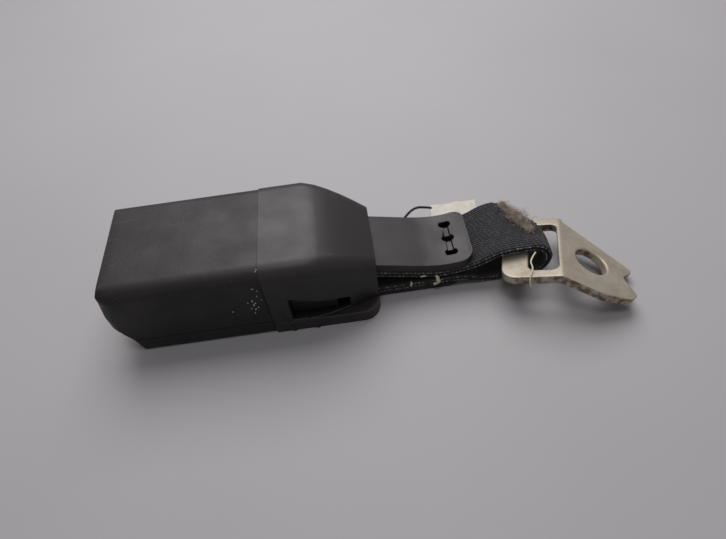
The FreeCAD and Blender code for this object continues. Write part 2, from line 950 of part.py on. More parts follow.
def plate_slope():
    """Part beyond the bend, drawn flat: tapered, notched at its end and bored for the bolt."""
    half = plate_thickness / 2
    near = -plate_width / 2
    corners = [
        (0, near, 0),
        (near_taper_start, near, lobe_round),
        (prong_shoulder_reach, -prong_shoulder_offset, lobe_round),
        (prong_reach, -prong_offset, prong_round),
        (notch_reach, -notch_offset, notch_round),
        (notch_mouth, -notch_mouth_offset, 0),
        (lobe_reach, lobe_offset, lobe_round),
        (0, far_taper_offset, 0),
    ]
    points = [V(x, y, -half) for x, y, _ in corners]
    face = Part.Face(Part.makePolygon(points + points[:1]))
    body = face.extrude(V(0, 0, plate_thickness))
    for x, y, radius in corners:
        if radius > 0:
            body = body.makeFillet(radius, upright_edges(body, x, y))
    hole_y = -bolt_hole_offset
    bore = V(bolt_hole_from_bend, hole_y, -plate_thickness)
    body = body.cut(Part.makeCylinder(bolt_hole_radius, 3 * plate_thickness, bore))
    flare = Part.makeCone(
        bolt_hole_radius,
        bolt_hole_radius + bolt_hole_chamfer,
        bolt_hole_chamfer,
        V(bolt_hole_from_bend, hole_y, half - bolt_hole_chamfer),
    )
    body = body.cut(flare)
    body.rotate(V(0, 0, 0), V(0, 1, 0), plate_bend_angle)
    return body


def upright_edges(body, x, y):
    """Edges of a drawn-out shape that stand at one corner of its outline."""
    near_corner = V(x, y, 0)
    found = []
    for edge in body.Edges:
        ends = [vertex.Point for vertex in edge.Vertexes]
        flat = [V(p.x, p.y, 0) for p in ends]
        if len(ends) == 2 and all(p.distanceToPoint(near_corner) < corner_reach for p in flat):
            found.append(edge)
    return found


def anchor_plate():
    """Bent steel plate with the webbing slot and the bolt hole."""
    flat, slot = plate_outline_flat()
    half = plate_thickness / 2
    wedge = Part.makeCylinder(half, plate_width, V(0, -plate_width / 2, 0), V(0, 1, 0))
    body = flat.fuse(plate_slope()).fuse(wedge).removeSplitter().cut(slot)
    body.Placement = plate_place()
    return body


def report_places():
    """Prints the places that the mounts and the joints share."""
    place = plate_place()
    bar_x = -plate_flat_length + bar_width() / 2
    print("anchor bar", place.multVec(V(bar_x, 0, 0)), place.Rotation.multVec(V(0, 1, 0)))
    tilt = FreeCAD.Rotation(V(0, 1, 0), plate_bend_angle)
    hole = tilt.multVec(V(bolt_hole_from_bend, -bolt_hole_offset, 0))
    print("bolt hole", place.multVec(hole), place.Rotation.multVec(tilt.multVec(V(0, 0, 1))))


def bar_width():
    """Width of the plate's bar inside the webbing loop."""
    return plate_flat_length - plate_slot_length - plate_slot_from_bend


def main():
    """Builds every piece and writes it to its own file."""
    os.makedirs("parts", exist_ok=True)
    pieces = {
        "back_cover": back_cover(),
        "front_cover": front_cover(),
        "release_button": release_button(),
        "tongue_guide": tongue_guide(),
        "buckle_frame": buckle_frame(),
        "latch": latch(),
        "latch_pin": cross_pin(pivot_distance, pivot_z, latch_pin_radius),
        "lock_bar": lock_bar(),
        "ejector": ejector(),
        "ejector_spring": ejector_spring(),
        "button_spring_near": button_spring(-1),
        "button_spring_far": button_spring(1),
        "latch_spring_near": latch_spring(-1),
        "latch_spring_far": latch_spring(1),
        "webbing_bar": cross_pin(webbing_bar_x, webbing_bar_z, webbing_bar_radius),
        "boot_upper": boot_upper(),
        "boot_lower": boot_lower(),
        "webbing_strap": webbing_strap(),
        "webbing_label": webbing_label(),
        "anchor_plate": anchor_plate(),
    }
    for name, shape in pieces.items():
        shape.exportStep("parts/" + name + ".step")
        box_of = shape.BoundBox
        print(
            name, "solids", len(shape.Solids), "valid", shape.isValid(),
            "volume", round(shape.Volume, 1),
            [round(v, 2) for v in (box_of.XMin, box_of.XMax, box_of.YMin, box_of.YMax)],
            [round(v, 2) for v in (box_of.ZMin, box_of.ZMax)],
        )
    report_places()


main()
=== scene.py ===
"""Looks of a seat belt buckle with boot, webbing loop and anchor plate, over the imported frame."""

import logging
import math
import random
from collections.abc import Callable, Sequence
from dataclasses import dataclass
from enum import Enum

import bmesh
import bpy
from mathutils import Matrix, Vector, noise


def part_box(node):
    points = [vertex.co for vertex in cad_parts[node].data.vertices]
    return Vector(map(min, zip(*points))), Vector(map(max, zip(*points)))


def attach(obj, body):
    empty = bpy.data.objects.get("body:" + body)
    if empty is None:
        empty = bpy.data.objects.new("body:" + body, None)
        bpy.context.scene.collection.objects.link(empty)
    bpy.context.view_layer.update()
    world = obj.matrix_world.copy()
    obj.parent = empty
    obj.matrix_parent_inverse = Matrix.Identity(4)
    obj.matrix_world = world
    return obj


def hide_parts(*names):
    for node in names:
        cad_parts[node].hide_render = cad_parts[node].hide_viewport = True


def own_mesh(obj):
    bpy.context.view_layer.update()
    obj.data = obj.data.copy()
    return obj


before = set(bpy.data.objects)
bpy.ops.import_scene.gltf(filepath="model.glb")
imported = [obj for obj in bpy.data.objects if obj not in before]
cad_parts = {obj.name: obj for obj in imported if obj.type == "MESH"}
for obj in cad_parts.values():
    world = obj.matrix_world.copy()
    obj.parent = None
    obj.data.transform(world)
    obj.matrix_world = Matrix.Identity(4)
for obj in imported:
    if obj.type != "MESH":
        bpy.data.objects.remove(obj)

Point = tuple[float, float, float]
Band = tuple[float, float]

LOG = logging.getLogger("buckle")
MM = 0.001
MERGE_MM = 0.002
FULL_TURN = 6.28
# A wave texture at scale 1 repeats after this share of its unit.
WAVE_PERIOD = 2 * math.pi / 20
WAVE_HEIGHT = 1
MIX_FACTOR, MIX_A, MIX_B, MIX_COLOUR = 0, 6, 7, 2
# Facets that turn by less than this are one flat face, and edges that turn by more than these
# are broken, and shaded sharp.
FLAT_DEGREES = 1.0
BREAK_DEGREES = 40
SHARP_DEGREES = 32
FLAT_FACE_WEIGHT = 90


class Body(Enum):
    """The frame's moving bodies that a piece can ride on."""

    ROOT = "root"
    BUTTON = "button"
    ANCHOR = "anchor"


class Slot(Enum):
    """The record's material slots that a piece can take."""

    COVER = "cover_plastic"
    BOOT = "boot_plastic"
    BUTTON = "button_plastic"
    SPRING = "spring_steel"
    PLATE = "plate_steel"
    WEBBING = "webbing"
    LABEL = "label"


class Axis(Enum):
    """The axis that a spring lies along."""

    X = 0
    Z = 2


def hex_colour(code: str) -> tuple[float, float, float, float]:
    """Turns an sRGB hex code into linear colour.

    Args:
        code: Six hex digits after a hash.

    Returns:
        Linear red, green, blue and an alpha of one.
    """
    values = [int(code[i:i + 2], 16) / 255 for i in (1, 3, 5)]
    linear = [v / 12.92 if v <= 0.04045 else ((v + 0.055) / 1.055) ** 2.4 for v in values]
    return (linear[0], linear[1], linear[2], 1.0)


def per_metre(size_mm: float) -> float:
    """Returns the texture scale whose features are this size."""
    return 1000 / size_mm


def held(value: float) -> float:
    """Returns a value held between 0 and 1."""
    return min(max(value, 0.0), 1.0)


def band(span: Band, low: float = 0.0, high: float = 1.0) -> dict[str, float]:
    """Gives a Map Range node's settings for one band of values.

    Args:
        span: The values where the band starts and ends.
        low: The result at its start.
        high: The result at its end.

    Returns:
        The settings by input name.
    """
    return {"From Min": span[0], "From Max": span[1], "To Min": low, "To Max": high}


def add_node(tree: bpy.types.NodeTree, kind: str, settings: dict | None = None,
             links: dict | None = None) -> bpy.types.Node:
    """Adds one node to a tree.

    Args:
        tree: The tree that gets the node.
        kind: The node's type name.
        settings: Property names, input names or input numbers, with their values.
        links: Input names or numbers, each with the output it takes, or with the node
            whose first output it takes.

    Returns:
        The new node.
    """
    node = tree.nodes.new(kind)
    for key, value in (settings or {}).items():
        if isinstance(key, str) and hasattr(node, key):
            setattr(node, key, value)
        else:
            node.inputs[key].default_value = value
    for key, source in (links or {}).items():
        output = source.outputs[0] if isinstance(source, bpy.types.Node) else source
        tree.links.new(output, node.inputs[key])
    return node


@dataclass(frozen=True)
class Finish:
    """A real material and how its surface was made."""

    name: str

    def make(self) -> bpy.types.Material:
        """Makes the finish the first time it is asked for.

        Returns:
            The material.
        """
        known = bpy.data.materials.get(self.name)
        if known is not None:
            return known
        material = bpy.data.materials.new(self.name)
        material.use_nodes = True
        tree = material.node_tree
        self.paint(tree, tree.nodes["Principled BSDF"])
        return material

    def paint(self, tree: bpy.types.NodeTree, shader: bpy.types.Node) -> None:
        """Builds the finish on its shader.

        Args:
            tree: The material's node tree.
            shader: The Principled shader to feed.
        """
        raise NotImplementedError


@dataclass(frozen=True)
class MouldedPlastic(Finish):
    """Injection moulded plastic: a spark eroded grain, handling shine, scuffs and settled dust."""

    base: str
    worn: str
    dust: str
    grain_mm: float
    grain_depth_mm: float
    roughness: float
    dust_share: float = 0.1
    scuff_share: float = 0.1
    gloss_index: float = 1.5
    patch_mm: float = 11
    worn_band: Band = (0.4, 0.72)
    scuff_lean: Point = (0.3, 0.2, 0.9)
    scuff_squeeze: Point = (60, 900, 400)
    scuff_band: Band = (0.70, 0.78)
    speck_mm: float = 0.8
    speck_band: Band = (0.69, 0.76)
    gloss_band: Band = (0.3, 0.7)
    dull_rise: float = 0.08
    polish_drop: float = 0.06
    grain_strength: float = 0.6

    def paint(self, tree: bpy.types.NodeTree, shader: bpy.types.Node) -> None:
        """Builds grain, cloudy wear, thin scuffs and dust specks from object coordinates.

        Args:
            tree: The material's node tree.
            shader: The Principled shader to feed.
        """
        dust = hex_colour(self.dust)
        place = add_node(tree, "ShaderNodeTexCoord").outputs["Object"]
        grain = add_node(tree, "ShaderNodeTexNoise",
                         {"Scale": per_metre(self.grain_mm), "Detail": 3.0, "Roughness": 0.6},
                         {"Vector": place})
        # Hands polish the plastic in patches about a centimetre across.
        cloud = add_node(tree, "ShaderNodeTexNoise",
                         {"Scale": per_metre(self.patch_mm), "Detail": 4.0}, {"Vector": place})
        wear = add_node(tree, "ShaderNodeMapRange", band(self.worn_band), {"Value": cloud})
        tone = add_node(tree, "ShaderNodeMix",
                        {"data_type": "RGBA", MIX_A: hex_colour(self.base),
                         MIX_B: hex_colour(self.worn)}, {MIX_FACTOR: wear})
        # Scuffs are long thin lines, so their noise is squeezed along one direction.
        lean = add_node(tree, "ShaderNodeMapping",
                        {"Rotation": self.scuff_lean, "Scale": self.scuff_squeeze},
                        {"Vector": place})
        line = add_node(tree, "ShaderNodeTexNoise", {"Scale": 1.0, "Detail": 1.0}, {"Vector": lean})
        scuff = add_node(tree, "ShaderNodeMapRange", band(self.scuff_band, high=self.scuff_share),
                         {"Value": line})
        scuffed = add_node(tree, "ShaderNodeMix", {"data_type": "RGBA", MIX_B: dust},
                           {MIX_FACTOR: scuff, MIX_A: tone.outputs[MIX_COLOUR]})
        # Real specks are finer. They are drawn at 0.3 mm and more, so that they show.
        speck = add_node(tree, "ShaderNodeTexNoise",
                         {"Scale": per_metre(self.speck_mm), "Detail": 2.0}, {"Vector": place})
        fleck = add_node(tree, "ShaderNodeMapRange", band(self.speck_band, high=self.dust_share),
                         {"Value": speck})
        dusty = add_node(tree, "ShaderNodeMix", {"data_type": "RGBA", MIX_B: dust},
                         {MIX_FACTOR: fleck, MIX_A: scuffed.outputs[MIX_COLOUR]})
        gloss = add_node(tree, "ShaderNodeMapRange",
                         band(self.gloss_band, self.roughness + self.dull_rise,
                              self.roughness - self.polish_drop), {"Value": cloud})
        bump = add_node(tree, "ShaderNodeBump",
                        {"Strength": self.grain_strength, "Distance": self.grain_depth_mm * MM},
                        {"Height": grain})
        # A deep grain scatters part of the gloss, so it shines like a lower index than a smooth
        # face of the same polymer.
        shader.inputs["IOR"].default_value = self.gloss_index
        tree.links.new(dusty.outputs[MIX_COLOUR], shader.inputs["Base Color"])
        tree.links.new(gloss.outputs[0], shader.inputs["Roughness"])
        tree.links.new(bump.outputs[0], shader.inputs["Normal"])


@dataclass(frozen=True)
class PlatedSteel(Finish):
    """Pressed or drawn steel with a coating: cloudy passivation, press lines, and corrosion on the
    cuts that face -Y, partly painted shade.
    """

    base: str
    shade: str
    rust_and_shade: str
    roughness: float
    metallic: float
    rust_and_shade_share: float = 0.0
    cloud_mm: float = 7
    cloud_band: Band = (0.38, 0.66)
    spot_mm: float = 2.2
    near_facing_band: Band = (-0.45, -0.8)
    away_drop: float = -0.3
    near_facing_lift: float = 0.14
    rust_and_shade_band: Band = (0.58, 0.72)
    line_lean: Point = (0.0, 0.0, 0.35)
    line_squeeze: Point = (180, 2200, 900)
    line_depth_mm: float = 0.03
    line_strength: float = 0.35
    gloss_band: Band = (0.3, 0.7)
    bright_drop: float = 0.07
    dull_rise: float = 0.12

    def paint(self, tree: bpy.types.NodeTree, shader: bpy.types.Node) -> None:
        """Builds cloudy plating, fine press lines, and corrosion with painted shade on faces
        towards -Y.

        Args:
            tree: The material's node tree.
            shader: The Principled shader to feed.
        """
        place = add_node(tree, "ShaderNodeTexCoord").outputs["Object"]
        cloud = add_node(tree, "ShaderNodeTexNoise",
                         {"Scale": per_metre(self.cloud_mm), "Detail": 5.0, "Roughness": 0.62},
                         {"Vector": place})
        blend = add_node(tree, "ShaderNodeMapRange", band(self.cloud_band), {"Value": cloud})
        tone = add_node(tree, "ShaderNodeMix",
                        {"data_type": "RGBA", MIX_A: hex_colour(self.base),
                         MIX_B: hex_colour(self.shade)}, {MIX_FACTOR: blend})
        # Zinc is thin where the sheet was cut, so corrosion starts there, in spots of a
        # millimetre or two. The faces that face -Y carry it: the near cut edges, and the hole's far
        # wall, where the dark brown is painted shade in the hole.
        spots = add_node(tree, "ShaderNodeTexNoise",
                         {"Scale": per_metre(self.spot_mm), "Detail": 4.0}, {"Vector": place})
        facing = add_node(tree, "ShaderNodeNewGeometry")
        axes = add_node(tree, "ShaderNodeSeparateXYZ", {},
                        {"Vector": facing.outputs["True Normal"]})
        near_facing = add_node(tree, "ShaderNodeMapRange",
                           band(self.near_facing_band, self.away_drop, self.near_facing_lift),
                           {"Value": axes.outputs["Y"]})
        total = add_node(tree, "ShaderNodeMath", {"operation": "ADD"}, {0: spots, 1: near_facing})
        rust_and_shade_mask = add_node(tree, "ShaderNodeMapRange", band(self.rust_and_shade_band, high=self.rust_and_shade_share),
                         {"Value": total})
        rust_and_shade_mix = add_node(tree, "ShaderNodeMix", {"data_type": "RGBA", MIX_B: hex_colour(self.rust_and_shade)},
                         {MIX_FACTOR: rust_and_shade_mask, MIX_A: tone.outputs[MIX_COLOUR]})
        drawn = add_node(tree, "ShaderNodeMapping",
                         {"Rotation": self.line_lean, "Scale": self.line_squeeze},
                         {"Vector": place})
        lines = add_node(tree, "ShaderNodeTexNoise", {"Scale": 1.0, "Detail": 2.0},
                         {"Vector": drawn})
        rough = add_node(tree, "ShaderNodeMapRange",
                         band(self.gloss_band, self.roughness - self.bright_drop,
                              self.roughness + self.dull_rise), {"Value": cloud})
        bump = add_node(tree, "ShaderNodeBump",
                        {"Strength": self.line_strength, "Distance": self.line_depth_mm * MM},
                        {"Height": lines})
        shader.inputs["Metallic"].default_value = self.metallic
        tree.links.new(rust_and_shade_mix.outputs[MIX_COLOUR], shader.inputs["Base Color"])
        tree.links.new(rough.outputs[0], shader.inputs["Roughness"])
        tree.links.new(bump.outputs[0], shader.inputs["Normal"])


@dataclass(frozen=True)
class Yarn(Finish):
    """Spun or woven fibre: fine twisted filaments, matt, with a soft sheen at the edges."""

    base: str
    fleck: str
    filament_mm: float
    roughness: float
    fleck_from: float
    fleck_width: float = 0.25
    twist_lean: Point = (0.0, 0.2, 0.6)
    fleck_mm: float = 1.7
    twist_strength: float = 0.5
    twist_depth_mm: float = 0.04
    sheen: float = 0.12

    def paint(self, tree: bpy.types.NodeTree, shader: bpy.types.Node) -> None:
        """Builds the filaments' slant and the flecks: rubbed yarn, and on a selvedge also painted
        highlight.

        Args:
            tree: The material's node tree.
            shader: The Principled shader to feed.
        """
        place = add_node(tree, "ShaderNodeTexCoord").outputs["Object"]
        slant = add_node(tree, "ShaderNodeMapping", {"Rotation": self.twist_lean},
                         {"Vector": place})
        twist = add_node(tree, "ShaderNodeTexWave",
                         {"Scale": WAVE_PERIOD * per_metre(self.filament_mm), "Distortion": 2.0,
                          "Detail": 1.0}, {"Vector": slant})
        # Light flecks mark rubbed yarn; on the selvedge they are also a painted highlight.
        fleck_noise = add_node(tree, "ShaderNodeTexNoise", {"Scale": per_metre(self.fleck_mm), "Detail": 3.0},
                       {"Vector": place})
        high = add_node(tree, "ShaderNodeMapRange",
                        band((self.fleck_from, self.fleck_from + self.fleck_width)),
                        {"Value": fleck_noise})
        both = add_node(tree, "ShaderNodeMath", {"operation": "MULTIPLY"},
                        {0: high, 1: twist.outputs[WAVE_HEIGHT]})
        tone = add_node(tree, "ShaderNodeMix",
                        {"data_type": "RGBA", MIX_A: hex_colour(self.base),
                         MIX_B: hex_colour(self.fleck)}, {MIX_FACTOR: both})
        bump = add_node(tree, "ShaderNodeBump",
                        {"Strength": self.twist_strength, "Distance": self.twist_depth_mm * MM},
                        {"Height": twist.outputs[WAVE_HEIGHT]})
        shader.inputs["Roughness"].default_value = self.roughness
        shader.inputs["Sheen Weight"].default_value = self.sheen
        tree.links.new(tone.outputs[MIX_COLOUR], shader.inputs["Base Color"])
        tree.links.new(bump.outputs[0], shader.inputs["Normal"])


@dataclass(frozen=True)
class PaintedBoard(Finish):
    """A plain painted tabletop with a faint mottle."""

    base: str
    mottle: str
    mottle_scale: float = 12.0
    roughness: float = 0.6

    def paint(self, tree: bpy.types.NodeTree, shader: bpy.types.Node) -> None:
        """Builds a faint, wide mottle.

        Args:
            tree: The material's node tree.
            shader: The Principled shader to feed.
        """
        place = add_node(tree, "ShaderNodeTexCoord").outputs["Object"]
        cloud = add_node(tree, "ShaderNodeTexNoise", {"Scale": self.mottle_scale, "Detail": 3.0},
                         {"Vector": place})
        tone = add_node(tree, "ShaderNodeMix",
                        {"data_type": "RGBA", MIX_A: hex_colour(self.base),
                         MIX_B: hex_colour(self.mottle)}, {MIX_FACTOR: cloud})
        shader.inputs["Roughness"].default_value = self.roughness
        tree.links.new(tone.outputs[MIX_COLOUR], shader.inputs["Base Color"])


# ABS out of a spark eroded mould: an even matt grain, drawn coarser than real so that it shows.
COVER = MouldedPlastic("abs_spark_eroded_charcoal", "#141113", "#1c191a", "#6d6663", grain_mm=0.6,
                       grain_depth_mm=0.09, roughness=0.47, dust_share=0.4, scuff_share=0.16,
                       gloss_index=1.4)
# Polypropylene out of a satin mould: nearly no grain, with a softer and slightly browner shine.
BOOT = MouldedPlastic("polypropylene_satin_charcoal", "#171416", "#1d1a1c", "#6a6462", grain_mm=0.9,
                      grain_depth_mm=0.02, roughness=0.43, dust_share=0.12, scuff_share=0.08,
                      gloss_index=1.46)
# Acetal out of a polished mould: a clear red with a tight shine.
BUTTON = MouldedPlastic("pom_moulded_red", "#b3150f", "#9a120e", "#6f2420", grain_mm=0.7,
                        grain_depth_mm=0.015, roughness=0.32)
# Uncoloured acetal: a waxy warm white.
INNER = MouldedPlastic("pom_natural_white", "#cfc9bb", "#bfb8a8", "#8d8778", grain_mm=0.8,
                       grain_depth_mm=0.015, roughness=0.4)
# Bright zinc on pressed steel: a cool, slightly clouded metal.
FRAME_STEEL = PlatedSteel("steel_bright_zinc", "#b9bbbd", "#9fa3a6", "#6d4a32", 0.34, 0.95)
# Phosphated spring wire: a dull dark grey metal.
SPRING_STEEL = PlatedSteel("spring_wire_phosphated", "#6d6e70", "#525356", "#5a3d2b", 0.42, 0.9)
# Barrel plated zinc with a yellow passivation that has faded: a warm matt metal, corroded at
# the near cuts, with painted shade on the hole's far wall.
PLATE_STEEL = PlatedSteel("steel_yellow_passivated_zinc", "#b3ab9c", "#9d9585", "#5b4030", 0.46,
                          0.6, rust_and_shade_share=0.8)
# Dyed polyester: nearly black and matt, with grey where the yarn is rubbed.
WEBBING = Yarn("polyester_webbing_black", "#101013", "#2d2c31", 0.5, 0.8, 0.5)
WEBBING_RIB = Yarn("polyester_warp_float_black", "#1a191d", "#58565f", 0.35, 0.7, 0.45)
# The selvedge's light grey flecks are partly rubbed yarn and partly a painted highlight on the near
# edges.
SELVEDGE_RUB_AND_HIGHLIGHT = Yarn("polyester_selvedge_rubbed_and_highlit", "#0e0e10", "#b5b2af", 1.1, 0.7, 0.43)
# Satin woven tape: cream, the brightest cloth on the part.
TAPE = Yarn("satin_label_tape_cream", "#e9e5da", "#c9c2b0", 0.4, 0.6, 0.5)
THREAD = Yarn("sewing_thread_cream", "#d8d2b4", "#f2eedc", 0.3, 0.6, 0.4)
# Household dust and loose cotton: dull, warm grey and quite without shine.
LINT = Yarn("cotton_lint_dusty", "#93857a", "#d8cbbb", 0.3, 0.9, 0.4)
CRUMB = Yarn("dry_dust_crumb", "#b9b4ac", "#e2dfd8", 0.3, 0.9, 0.4)
TABLETOP = PaintedBoard("painted_board_pale_grey", "#b4b3b6", "#acabae")


def report(piece: bpy.types.Object, body: Body) -> None:
    """Logs a finished piece with its face count and body."""
    LOG.info("%s: %d faces on %s", piece.name, len(piece.data.polygons), body.value)


def placed(name: str, data: bpy.types.ID) -> bpy.types.Object:
    """Puts new data into the scene, at the world origin.

    Args:
        name: The object's name.
        data: Its mesh, curve, camera or light.

    Returns:
        The linked object.
    """
    piece = bpy.data.objects.new(name, data)
    bpy.context.scene.collection.objects.link(piece)
    return piece


def settled(carrier: bpy.types.Object, name: str) -> bpy.types.Object:
    """Turns an object with live modifiers into a plain mesh object.

    Args:
        carrier: The object with the modifiers, which is removed.
        name: The plain object's name.

    Returns:
        The plain object, at the world origin.
    """
    bpy.context.view_layer.update()
    graph = bpy.context.evaluated_depsgraph_get()
    mesh = bpy.data.meshes.new_from_object(carrier.evaluated_get(graph),
                                           preserve_all_data_layers=True, depsgraph=graph)
    bpy.data.objects.remove(carrier)
    mesh.name = name
    return placed(name, mesh)


def evenly_shaded(piece: bpy.types.Object, name: str, sharp_degrees: float) -> bpy.types.Object:
    """Shades a piece so that its large flat faces stay flat beside their rounded edges.

    Args:
        piece: The plain piece, which is used up.
        name: The new piece's name.
        sharp_degrees: Edges that turn by more than this stay sharp.

    Returns:
        The evenly shaded plain piece.
    """
    piece.data.shade_smooth()
    piece.data.set_sharp_from_angle(angle=math.radians(sharp_degrees))
    shade = piece.modifiers.new("even shade", "WEIGHTED_NORMAL")
    shade.keep_sharp = True
    shade.weight = FLAT_FACE_WEIGHT
    return settled(piece, name)


def mesh_object(name: str, points: Sequence[Point], faces: Sequence[tuple]) -> bpy.types.Object:
    """Makes an object from points and faces, with its normals outwards and smooth faces.

    Args:
        name: The object's name.
        points: Places in metres.
        faces: Tuples of point numbers.

    Returns:
        The linked object.
    """
    mesh = bpy.data.meshes.new(name)
    mesh.from_pydata(points, [], faces)
    work = bmesh.new()
    work.from_mesh(mesh)
    bmesh.ops.recalc_face_normals(work, faces=work.faces)
    work.to_mesh(mesh)
    work.free()
    mesh.shade_smooth()
    return placed(name, mesh)


def join_flats(work: bmesh.types.BMesh) -> None:
    """Joins the triangles of each flat face, so that a broken edge runs clean along it."""
    bmesh.ops.dissolve_limit(work, angle_limit=math.radians(FLAT_DEGREES), verts=work.verts,
                             edges=work.edges)


def loose_points(name: str, points: Sequence[Sequence[float]]) -> bpy.types.Mesh:
    """Makes a mesh of points alone, for a tree to work on.

    Args:
        name: The mesh's name.
        points: Places in metres.

    Returns:
        The mesh.
    """
    mesh = bpy.data.meshes.new(name)
    mesh.from_pydata(points, [], [])
    return mesh


def cord(name: str, places: Sequence[Point], radius_mm: float, finish: Finish,
         closed: bool = False) -> bpy.types.Object:
    """Makes a short round cord, with capped ends or closed on itself.

    Args:
        name: The piece's name.
        places: Guide points in millimetres.
        radius_mm: The cord's radius.
        finish: The finish it takes.
        closed: Whether it goes straight from point to point and back to its start.

    Returns:
        The plain piece.
    """
    curve = bpy.data.curves.new(name, "CURVE")
    curve.dimensions = "3D"
    curve.bevel_depth = radius_mm * MM
    curve.bevel_resolution = 2 if closed else 3
    curve.use_fill_caps = not closed
    spline = curve.splines.new("POLY" if closed else "NURBS")
    spline.points.add(len(places) - 1)
    for point, place in zip(spline.points, places):
        point.co = (*(c * MM for c in place), 1.0)
    spline.use_cyclic_u = closed
    if not closed:
        spline.order_u = 3
        spline.use_endpoint_u = True
        spline.resolution_u = 10
    curve.materials.append(finish.make())
    piece = settled(placed(name, curve), name)
    piece.data.shade_smooth()
    return piece


def open_tree(name: str, sizes: dict[str, float]) -> tuple[bpy.types.NodeTree, bpy.types.Node]:
    """Starts a Geometry Nodes tree with one named input for each size.

    Args:
        name: The tree's name.
        sizes: Input names with their values.

    Returns:
        The tree and its input node.
    """
    tree = bpy.data.node_groups.new(name, "GeometryNodeTree")
    tree.interface.new_socket(name="Geometry", in_out="INPUT", socket_type="NodeSocketGeometry")
    for label in sizes:
        tree.interface.new_socket(name=label, in_out="INPUT", socket_type="NodeSocketFloat")
    tree.interface.new_socket(name="Geometry", in_out="OUTPUT", socket_type="NodeSocketGeometry")
    return tree, add_node(tree, "NodeGroupInput")


def bake_tree(tree: bpy.types.NodeTree, made: bpy.types.Node, finish: Finish,
              points: bpy.types.Mesh, sizes: dict[str, float], name: str) -> bpy.types.Object:
    """Ends a tree with real geometry and its finish, and turns the result into a plain piece.

    Args:
        tree: The tree that open_tree started.
        made: The node whose first output carries the geometry.
        finish: The finish that the piece takes.
        points: The mesh that the tree works on.
        sizes: Input names with their values.
        name: The piece's name.

    Returns:
        The plain piece.
    """
    smooth = add_node(tree, "GeometryNodeSetShadeSmooth", {}, {"Geometry": made})
    real = add_node(tree, "GeometryNodeRealizeInstances", {}, {"Geometry": smooth})
    coat = add_node(tree, "GeometryNodeSetMaterial", {"Material": finish.make()},
                    {"Geometry": real})
    add_node(tree, "NodeGroupOutput", {}, {"Geometry": coat})
    carrier = placed(name, points)
    modifier = carrier.modifiers.new(name, "NODES")
    modifier.node_group = tree
    for item in tree.interface.items_tree:
        if item.in_out == "INPUT" and item.name in sizes:
            modifier[item.identifier] = sizes[item.name]
    return settled(carrier, name)


class Assembly:
    """A group of pieces that is built and dressed together."""

    def build(self) -> None:
        """Builds and dresses the group's pieces."""
        raise NotImplementedError

    def dress(self, node: str, finish: Finish) -> None:
        """Gives a node of the frame its finish.

        Args:
            node: The node's name.
            finish: The finish it takes.
        """
        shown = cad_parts[node]
        shown.data.materials.clear()
        shown.data.materials.append(finish.make())
        LOG.info("%s: dressed in %s", node, finish.name)

    def mount(self, piece: bpy.types.Object, body: Body, slot: Slot, *stands_for: str) -> None:
        """Puts a finished piece on its body.

        Args:
            piece: The piece, in place.
            body: The body it moves with.
            slot: The record's material slot. It is not used.
            stands_for: Nodes of the frame that it replaces.
        """
        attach(piece, body.value)
        if stands_for:
            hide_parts(*stands_for)
        report(piece, body)

    def copied(self, node: str, name: str, finish: Finish,
               shape: Callable[[bmesh.types.BMesh], None] | None = None) -> bpy.types.Object:
        """Copies a node with its loose triangles merged, and reshapes the copy.

        Args:
            node: The node to copy.
            name: The copy's name.
            finish: The finish it takes.
            shape: Changes the merged mesh.

        Returns:
            The copy, at the world origin.
        """
        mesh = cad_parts[node].data.copy()
        work = bmesh.new()
        work.from_mesh(mesh)
        bmesh.ops.remove_doubles(work, verts=work.verts, dist=MERGE_MM * MM)
        if shape is not None:
            shape(work)
        work.to_mesh(mesh)
        work.free()
        mesh.materials.clear()
        mesh.materials.append(finish.make())
        return placed(name, mesh)

    def softened(self, node: str, name: str, width_mm: float, finish: Finish) -> bpy.types.Object:
        """Copies a node with its sharp edges broken, as pressing and moulding leave them.

        Args:
            node: The node to copy.
            name: The copy's name.
            width_mm: Width of the broken edge.
            finish: The finish it takes.

        Returns:
            The plain copy.
        """
        carrier = self.copied(node, name, finish, join_flats)
        bevel = carrier.modifiers.new("edge break", "BEVEL")
        bevel.width = width_mm * MM
        bevel.segments = 2
        bevel.limit_method = "ANGLE"
        bevel.angle_limit = math.radians(BREAK_DEGREES)
        bevel.use_clamp_overlap = False
        return evenly_shaded(settled(carrier, name), name, SHARP_DEGREES)


